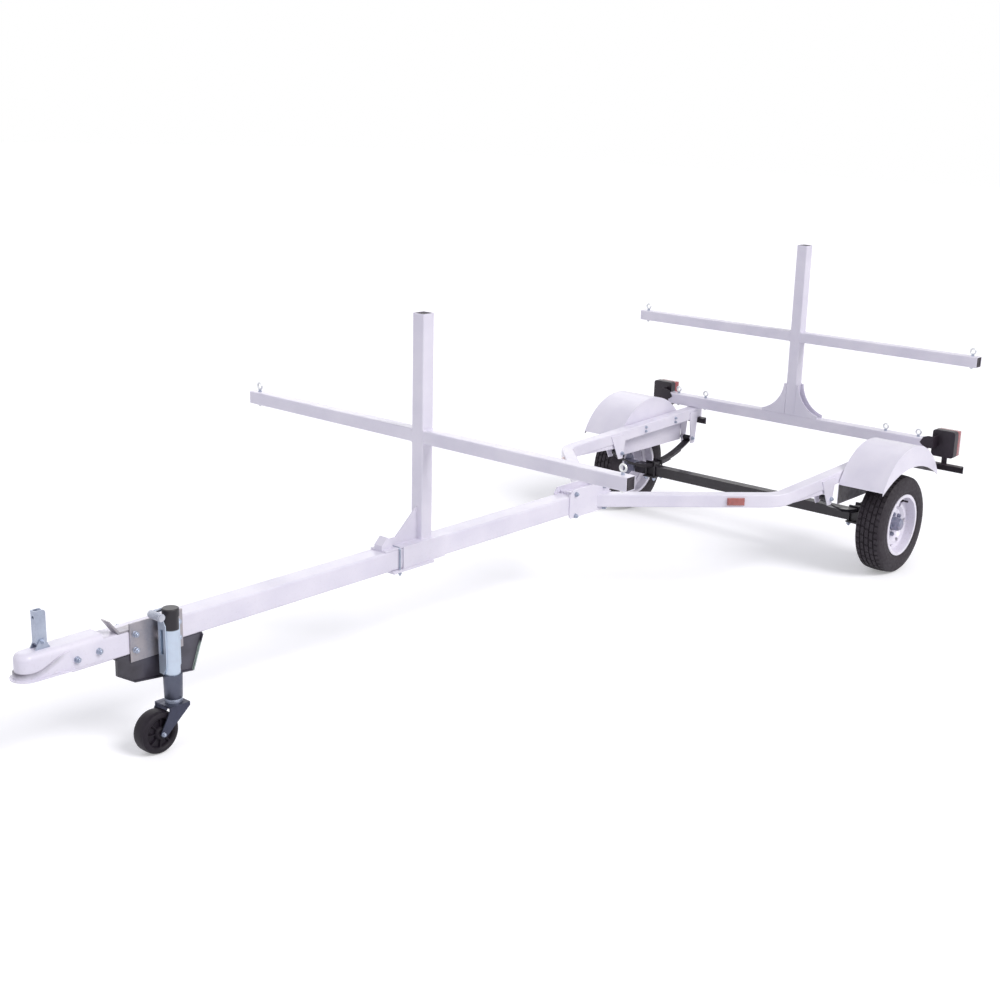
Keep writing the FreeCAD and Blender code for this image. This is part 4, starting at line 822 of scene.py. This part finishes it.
class TrailerFasteners(bpy.types.PropertyGroup):
    """Sizes of the nuts and of the weld runs"""

    large: measure("Large nut", "Width over flats", 0.019)
    small: measure("Small nut", "Width over flats", 0.013)
    weld: measure("Weld", "Width of a weld run", 0.0065)


def nut(across):
    """A washer, a nut with its corners turned off, and the end of a thread, along +Z."""
    seat = 0.0024
    proud = 0.6
    height = across * 0.5
    top = facing(2, 1)
    washer = cylinder(across * 0.62, 0.002, (0, 0, 0.001), 24)
    inset(washer, top, 0.0006, 0.0004)
    body = cylinder(across / math.sqrt(3), height, (0, 0, seat + height / 2), 6)
    inset(body, top, across * 0.09, across * 0.055)
    inset(body, top, across * 0.13, -across * 0.02)
    end = cylinder(across * 0.3, height, (0, 0, seat + height * (0.5 + proud)), 16)
    inset(end, top, across * 0.05, across * 0.04)
    return join([washer, body, end], "nut")


def bolted(name, master, spots, body="frame"):
    """Copies of one nut at a list of (place, direction), joined as one piece."""
    twist = 0.4
    pieces = [copy_to(master, spot, along, twist * number)
              for number, (spot, along) in enumerate(spots)]
    hand_over(join(pieces, name), body, "zinc")


def both_ways(node, back):
    """Where nuts go on the rods that stick out of a CAD node to the left and right."""
    return [(spot - unit(1, side) * back, unit(1, side))
            for side in (1, -1) for spot in ends(node, 1, side)]


class TRAILER_OT_fasteners(bpy.types.Operator):
    """Puts nuts and bolt heads where the trailer is bolted together"""

    bl_idname = "trailer.fasteners"
    bl_label = "Nuts and bolts"

    def execute(self, context):
        sizes = context.scene.trailer_fasteners
        large = nut(sizes.large)
        small = nut(sizes.small)
        thread = Vector((0, 0, 0.015))
        bolted("saddle_nuts", large, both_ways("saddle_clamp", 0.008))
        for side in ("left", "right"):
            bolted(side + "_hanger_nuts", large, both_ways(side + "_spring_hangers", 0.010))
            low = [(spot + thread, (0, 0, -1)) for spot in ends(side + "_axle_clamp", 2, -1)]
            bolted(side + "_u_bolt_nuts", large, low)
            bolted(side + "_fender_bolts", small, self.fender_spots(side))
        bolted("jack_mount_bolts", large, self.mount_spots())
        bolted("coupler_bolts", large, self.coupler_spots())
        bolted("caster_axle_nuts", small, both_ways("caster_fork", 0.006), "caster_swivel")
        bolted("latch_pin_ends", small, both_ways("latch_ears", 0.003))
        for name in EYES:
            bolted(name + "_nuts", small, self.eye_spots(name))
        discard(large)
        discard(small)
        return {"FINISHED"}

    def fender_spots(self, side):
        """Two bolts through each end of a fender's straps, which lean with the trailer."""
        low, high = level_box(side + "_fender_straps")
        middle = (low + high) / 2
        sign = 1 if side == "left" else -1
        outer = max(abs(low.y), abs(high.y)) + 0.0025
        inner = outer - 0.0075 - RAIL
        faces = ((sign, outer), (-sign, inner))
        spots = []
        for x in (low.x + 0.02, high.x - 0.02):
            z = middle.z - (x - middle.x) * math.tan(LEAN)
            spots += [((x, sign * face, z + lift), (0, way, 0))
                      for lift in (-0.012, 0.012) for way, face in faces]
        return spots

    def mount_spots(self):
        """Four bolts that hold the jack's mount to the tongue."""
        plate = 0.006
        pitch = 0.183
        rise = 0.03
        middle = (TONGUE_LOW.z + TONGUE_HIGH.z) / 2
        rear = level_box("jack_mount")[0].x + 0.022
        faces = ((1, TONGUE_HIGH.y + plate), (-1, TONGUE_HIGH.y))
        return [((x, way * face, z), (0, way, 0)) for x in (rear, rear + pitch)
                for z in (middle - rise, middle + rise) for way, face in faces]

    def coupler_spots(self):
        """Two bolts through the coupler's skirt and the tongue."""
        rear = level_box("coupler_body")[0].x
        face = TONGUE_HIGH.y + 0.004
        rows = ((rear + 0.021, TONGUE_LOW.z + 0.052), (rear + 0.109, TONGUE_LOW.z + 0.046))
        return [((x, sign * face, z), (0, sign, 0)) for x, z in rows for sign in (1, -1)]

    def eye_spots(self, name):
        """Under the ring of each eye bolt, on the bar's top."""
        low, high = level_box(name)
        top = high.z - 0.044
        middle = (low.x + high.x) / 2
        return [((middle, spot.y, top), (0, 0, 1)) for spot in ends(name, 2, -1)]


def plug(low, high, axis, side):
    """A moulded insert in a tube's end, with soft corners and a shallow dish."""
    piece = block(low, high)
    apply_modifier(piece, "BEVEL", width=0.003, segments=3, limit_method="ANGLE")
    inset(piece, facing(axis, side), 0.006, 0.0)
    inset(piece, facing(axis, side), 0.004, -0.002)
    return piece


class TRAILER_OT_plugs(bpy.types.Operator):
    """Closes the open tube ends with dark plastic plugs"""

    bl_idname = "trailer.plugs"
    bl_label = "Tube plugs"

    def execute(self, context):
        wall = Vector.Fill(3, 0.0032)
        sunk = 0.0008
        length = 0.02
        pieces = []
        for node, axis, sides in (("front_crossbar", 1, (1, -1)), ("rear_crossbar", 1, (1, -1)),
                                  ("rear_crossmember", 1, (1, -1)), ("front_post", 2, (1,)),
                                  ("rear_post", 2, (1,)), ("tongue_tube", 0, (-1,))):
            low, high = level_box(node)
            for side in sides:
                a = low + wall
                b = high - wall
                if side > 0:
                    b[axis] = high[axis] - sunk
                    a[axis] = b[axis] - length
                else:
                    a[axis] = low[axis] + sunk
                    b[axis] = a[axis] + length
                pieces.append(plug(a, b, axis, side))
        hand_over(join(pieces, "tube_plugs"), "frame", "grip_plastic", "black_plastic")
        return {"FINISHED"}


def weld(start, end, width):
    """A rippled run along an edge: one flattened drop, repeated by an array."""
    start, end = Vector(start), Vector(end)
    run = end - start
    pitch = width * 0.6
    deselect()
    bpy.ops.mesh.primitive_uv_sphere_add(segments=8, ring_count=5, radius=width / 2,
                                         location=start, scale=(1, 1, 0.9))
    drop = place(active())
    apply_modifier(drop, "ARRAY", count=int(run.length / pitch) + 1, use_relative_offset=False,
                   use_constant_offset=True, constant_offset_displace=run.normalized() * pitch)
    return drop


def ring_weld(low, high, axis, level, width):
    """Weld runs round a square tube where it stands on a face."""
    first, second = [i for i in range(3) if i != axis]
    corners = []
    for a, b in ((low[first], low[second]), (high[first], low[second]),
                 (high[first], high[second]), (low[first], high[second])):
        corner = unit(axis) * level
        corner[first], corner[second] = a, b
        corners.append(corner)
    return [weld(a, b, width) for a, b in zip(corners, corners[1:] + corners[:1])]


class TRAILER_OT_welds(bpy.types.Operator):
    """Lays the weld runs that hold the frame and racks together"""

    bl_idname = "trailer.welds"
    bl_label = "Welds"

    def execute(self, context):
        width = context.scene.trailer_fasteners.weld
        runs = []
        for rack in ("front", "rear"):
            low, high = level_box(rack + "_post")
            bar_low, bar_high = level_box(rack + "_crossbar")
            runs += ring_weld(low, high, 2, low.z, width)
            for face in (low.y, high.y):
                runs += ring_weld(bar_low, bar_high, 1, face, width)
        lines = self.gusset_lines() + self.rail_lines()
        runs += [weld(start, end, width) for start, end in lines]
        hand_over(join(runs, "frame_welds"), "frame", "frame_paint", smooth=60.0)
        return {"FINISHED"}

    def gusset_lines(self):
        """Where the gussets meet the rear post and its bar, and the web meets the front post."""
        low, high = level_box("rear_post_gussets")
        post_low, post_high = level_box("rear_post")
        lines = []
        for x in (low.x, high.x):
            for edge, toe in ((post_high.y, high.y), (post_low.y, low.y)):
                lines.append(((x, edge, low.z), (x, edge, high.z)))
                lines.append(((x, edge, low.z), (x, toe, low.z)))
        front_low, front_high = level_box("front_post")
        foot = Vector((front_high.x, 0.003, front_low.z))
        lines.append((foot, foot + unit(2) * 0.14))
        return lines

    def rail_lines(self):
        """Where the side rails meet the cross member and the tongue's plates."""
        low, high = level_box("rear_crossmember")
        rail = level_box("left_side_rail")[1]
        plate = TONGUE_HIGH.y + 0.006
        root = rail.x - 0.0165
        slant = RAIL * math.sqrt(2)
        lines = []
        for sign in (1, -1):
            for y in (rail.y - RAIL, rail.y):
                lines.append(((low.x, sign * y, low.z), (high.x, sign * y, low.z)))
            for z in (TONGUE_LOW.z, TONGUE_LOW.z + RAIL):
                lines.append(((root - slant, sign * plate, z), (root, sign * plate, z)))
        return lines


# Lamps, the jack's grip and sleeve, and the base's bolt

class TRAILER_OT_lamps(bpy.types.Operator):
    """Models the tail lamps' lenses with their grid of small cells"""

    bl_idname = "trailer.lamps"
    bl_label = "Lamps"

    def execute(self, context):
        low, high = level_box("left_tail_lens")
        rear = facing(0, -1)
        border = 0.010
        piece = block(low, high)
        select_faces(piece, rear)
        bpy.ops.mesh.inset(thickness=border, depth=0.0)
        bpy.ops.mesh.subdivide(number_cuts=8)
        object_mode()
        edge = low.x + 0.0004
        margin = Vector((0, border + 0.001, border + 0.001))
        inner_low = low + margin
        inner_high = high - margin

        def cell(c, n):
            inside = inner_low.y < c.y < inner_high.y and inner_low.z < c.z < inner_high.z
            return rear(c, n) and c.x < edge and inside

        inset(piece, cell, 0.0014, -0.0018, individual=True)
        apply_modifier(piece, "BEVEL", width=0.006, segments=3, limit_method="ANGLE",
                       angle_limit=math.radians(80))
        hand_over_pair(piece, "{}_lamp_lens", "frame", "red_lens", replaces=["{}_tail_lens"])
        return {"FINISHED"}


class TRAILER_OT_crank(bpy.types.Operator):
    """Models the ribbed grip on the jack's crank"""

    bl_idname = "trailer.crank"
    bl_label = "Crank grip"

    def execute(self, context):
        low, high = level_box("jack_crank")
        length = 0.066
        radius = 0.0147
        groove = radius - 0.0014
        plain = 0.006
        ribs = 9
        width = (length - 2 * plain) / ribs
        centre = Vector((high.x - 0.014, high.y - length, low.z + 0.015))
        profile = [(0, 0), (0, radius - 0.002), (0.002, radius)]
        for number in range(ribs):
            start = plain + width * number
            profile += [(start, radius), (start + width * 0.2, groove),
                        (start + width * 0.5, groove), (start + width * 0.7, radius)]
        cap = length + 0.0002
        profile += [(length - 0.002, radius), (cap, radius - 0.002), (cap, 0)]
        grip = lathe(profile, 32, centre)
        grip.name = "jack_grip"
        hand_over(grip, "jack", "grip_plastic", "grey_plastic")
        return {"FINISHED"}


class TRAILER_OT_sleeve(bpy.types.Operator):
    """Models the wider grey sleeve round the foot of the jack's tube"""

    bl_idname = "trailer.sleeve"
    bl_label = "Jack sleeve"

    def execute(self, context):
        inner = 0.0287
        foot = 0.0330
        shoulder = 0.0352
        height = 0.092
        centre = Vector((JACK_X, JACK_OUT, TUBE_LOW.z + 0.0005))
        profile = [(0, inner), (0, foot - 0.001), (0.0015, foot), (height - 0.004, shoulder),
                   (height - 0.001, shoulder - 0.001), (height, shoulder - 0.003),
                   (height, inner), (0, inner)]
        sleeve = lathe(profile, 48, centre, axis=2)
        sleeve.name = "jack_foot_sleeve"
        hand_over(sleeve, "jack", "zinc", "jack_foot_sleeve")
        return {"FINISHED"}


class TRAILER_OT_base_bolt(bpy.types.Operator):
    """Models the U bolt that clamps the front rack's base to the tongue"""

    bl_idname = "trailer.base_bolt"
    bl_label = "Base bolt"

    def execute(self, context):
        low, high = level_box("front_post_base")
        radius = 0.0042
        bend = 0.012
        proud = 0.015
        clear = radius + 0.0003
        x = high.x - 0.080
        side = TONGUE_HIGH.y + clear
        top = TONGUE_HIGH.z + clear
        foot = low.z - proud
        pieces = [bent_rod([(x, side, foot), (x, side, top), (x, -side, top), (x, -side, foot)],
                           radius, bend)]
        small = nut(context.scene.trailer_fasteners.small)
        pieces += [copy_to(small, (x, y, low.z), (0, 0, -1)) for y in (side, -side)]
        discard(small)
        hand_over(join(pieces, "front_base_bolt"), "frame", "zinc")
        return {"FINISHED"}


# The stage

class TrailerView(bpy.types.PropertyGroup):
    """Where the camera stands, from the middle of the axle on the floor"""

    ahead: measure("Ahead", "Camera's distance ahead of the axle", 7.12)
    aside: measure("Aside", "Camera's distance to the left", 4.188)
    height: measure("Height", "Camera's height", 2.265)
    bearing: measure("Bearing", "Turn of the view from straight back", 0.7038, "ROTATION")
    dip: measure("Dip", "How far the view looks down", 0.2547, "ROTATION")
    roll: measure("Roll", "Lean of the picture", 0.0430, "ROTATION")
    focal: measure("Focal length", "Lens, in millimetres on a 36 mm frame", 53.27, "NONE")


def sun(name, toward, strength, spread, colour):
    """A broad even light that shines from one direction."""
    bpy.ops.object.light_add(type="SUN", location=Vector(toward) * 8)
    lamp = active()
    lamp.name = name
    lamp.data.energy = strength
    lamp.data.angle = spread
    lamp.data.color = colour
    lamp.rotation_euler = (-Vector(toward)).to_track_quat("-Z", "Y").to_euler()


def floor_finish(colour, lift):
    """A pale floor that is lifted to white where it is seen, and keeps the shadow."""
    f = Finish("Pale floor", roughness=1.0)
    fill(f.shader, Base_Color=linear(colour), Specular_IOR_Level=0.0)
    glow = f.node("ShaderNodeEmission", Color=(1, 1, 1, 1))
    f.link(f.math("MULTIPLY", f.seen_directly(), lift), glow.inputs["Strength"])
    both = f.node("ShaderNodeAddShader")
    f.link(f.shader.outputs["BSDF"], both.inputs[0])
    f.link(glow.outputs["Emission"], both.inputs[1])
    f.link(both.outputs["Shader"], f.nodes["Material Output"].inputs["Surface"])
    return f.material


def studio_world(scene, colour, strength):
    """Even light from all round, and plain white where the world itself is seen."""
    scene.world = bpy.data.worlds.new("Studio")
    w = Nodes(scene.world)
    light = fill(w.nodes["Background"], Color=linear(colour), Strength=strength)
    white = w.node("ShaderNodeBackground", Color=(1, 1, 1, 1))
    mix = w.node("ShaderNodeMixShader")
    w.link(w.seen_directly(), mix.inputs["Fac"])
    w.link(light.outputs["Background"], mix.inputs[1])
    w.link(white.outputs["Background"], mix.inputs[2])
    w.link(mix.outputs["Shader"], w.nodes["World Output"].inputs["Surface"])


class TRAILER_OT_stage(bpy.types.Operator):
    """Sets the pale floor, the soft lights and the camera"""

    bl_idname = "trailer.stage"
    bl_label = "Stage"

    def execute(self, context):
        scene = context.scene
        deselect()
        bpy.ops.mesh.primitive_plane_add(size=120, location=(0, 0, -0.001))
        floor = place(active())
        floor.name = "studio_floor"
        floor.data.materials.append(floor_finish((0.93, 0.93, 0.94), 0.30))
        sun("Key", (-0.10, 0.72, 0.68), 1.9, 0.5, (1.0, 0.985, 0.98))
        sun("Front fill", (0.80, 0.05, 0.60), 0.66, 0.9, (0.96, 0.97, 1.0))
        sun("Far fill", (-0.45, -0.75, 0.50), 0.5, 0.9, (0.97, 0.97, 1.0))
        studio_world(scene, (0.94, 0.94, 0.97), 0.42)
        scene.view_settings.view_transform = "Standard"
        self.camera(scene)
        return {"FINISHED"}

    def camera(self, scene):
        """Looks along the bearing, dipped and rolled, as the picture was taken."""
        v = scene.trailer_view
        level = Vector((-math.cos(v.bearing), -math.sin(v.bearing), 0))
        right = Vector((-math.sin(v.bearing), math.cos(v.bearing), 0))
        ahead = level * math.cos(v.dip) - Vector((0, 0, math.sin(v.dip)))
        up = level * math.sin(v.dip) + Vector((0, 0, math.cos(v.dip)))
        side = right * math.cos(v.roll) + up * math.sin(v.roll)
        top = up * math.cos(v.roll) - right * math.sin(v.roll)
        bpy.ops.object.camera_add(location=(AXLE.x + v.ahead, v.aside, v.height))
        camera = active()
        camera.name = "Studio camera"
        turn = Matrix((side, top, -ahead)).transposed()
        camera.rotation_euler = turn.to_euler()
        camera.data.sensor_width = 36
        camera.data.lens = v.focal
        camera.data.clip_end = 100
        scene.camera = camera


class TRAILER_PT_panel(bpy.types.Panel):
    """Lists the steps that dress the trailer"""

    bl_label = "Trailer dressing"
    bl_idname = "TRAILER_PT_panel"
    bl_space_type = "VIEW_3D"
    bl_region_type = "UI"
    bl_category = "Trailer"

    def draw(self, context):
        column = self.layout.column()
        for operator in OPERATORS:
            column.operator(operator.bl_idname)


OPERATORS = (
    TRAILER_OT_finishes,
    TRAILER_OT_tyres,
    TRAILER_OT_valves,
    TRAILER_OT_caster,
    TRAILER_OT_fasteners,
    TRAILER_OT_plugs,
    TRAILER_OT_welds,
    TRAILER_OT_lamps,
    TRAILER_OT_crank,
    TRAILER_OT_sleeve,
    TRAILER_OT_base_bolt,
    TRAILER_OT_stage,
)
GROUPS = {
    "trailer_colours": TrailerColours,
    "trailer_tread": TrailerTread,
    "trailer_fasteners": TrailerFasteners,
    "trailer_view": TrailerView,
}
CLASSES = (*GROUPS.values(), *OPERATORS, TRAILER_PT_panel)


def register():
    for cls in CLASSES:
        bpy.utils.register_class(cls)
    for name, group in GROUPS.items():
        setattr(bpy.types.Scene, name, bpy.props.PointerProperty(type=group))


def unregister():
    for name in GROUPS:
        delattr(bpy.types.Scene, name)
    for cls in reversed(CLASSES):
        bpy.utils.unregister_class(cls)


def main():
    register()
    bpy.ops.trailer.finishes()
    bpy.ops.trailer.tyres()
    bpy.ops.trailer.valves()
    bpy.ops.trailer.caster()
    bpy.ops.trailer.fasteners()
    bpy.ops.trailer.plugs()
    bpy.ops.trailer.welds()
    bpy.ops.trailer.lamps()
    bpy.ops.trailer.crank()
    bpy.ops.trailer.sleeve()
    bpy.ops.trailer.base_bolt()
    bpy.ops.trailer.stage()


if __name__ == "__main__":
    main()
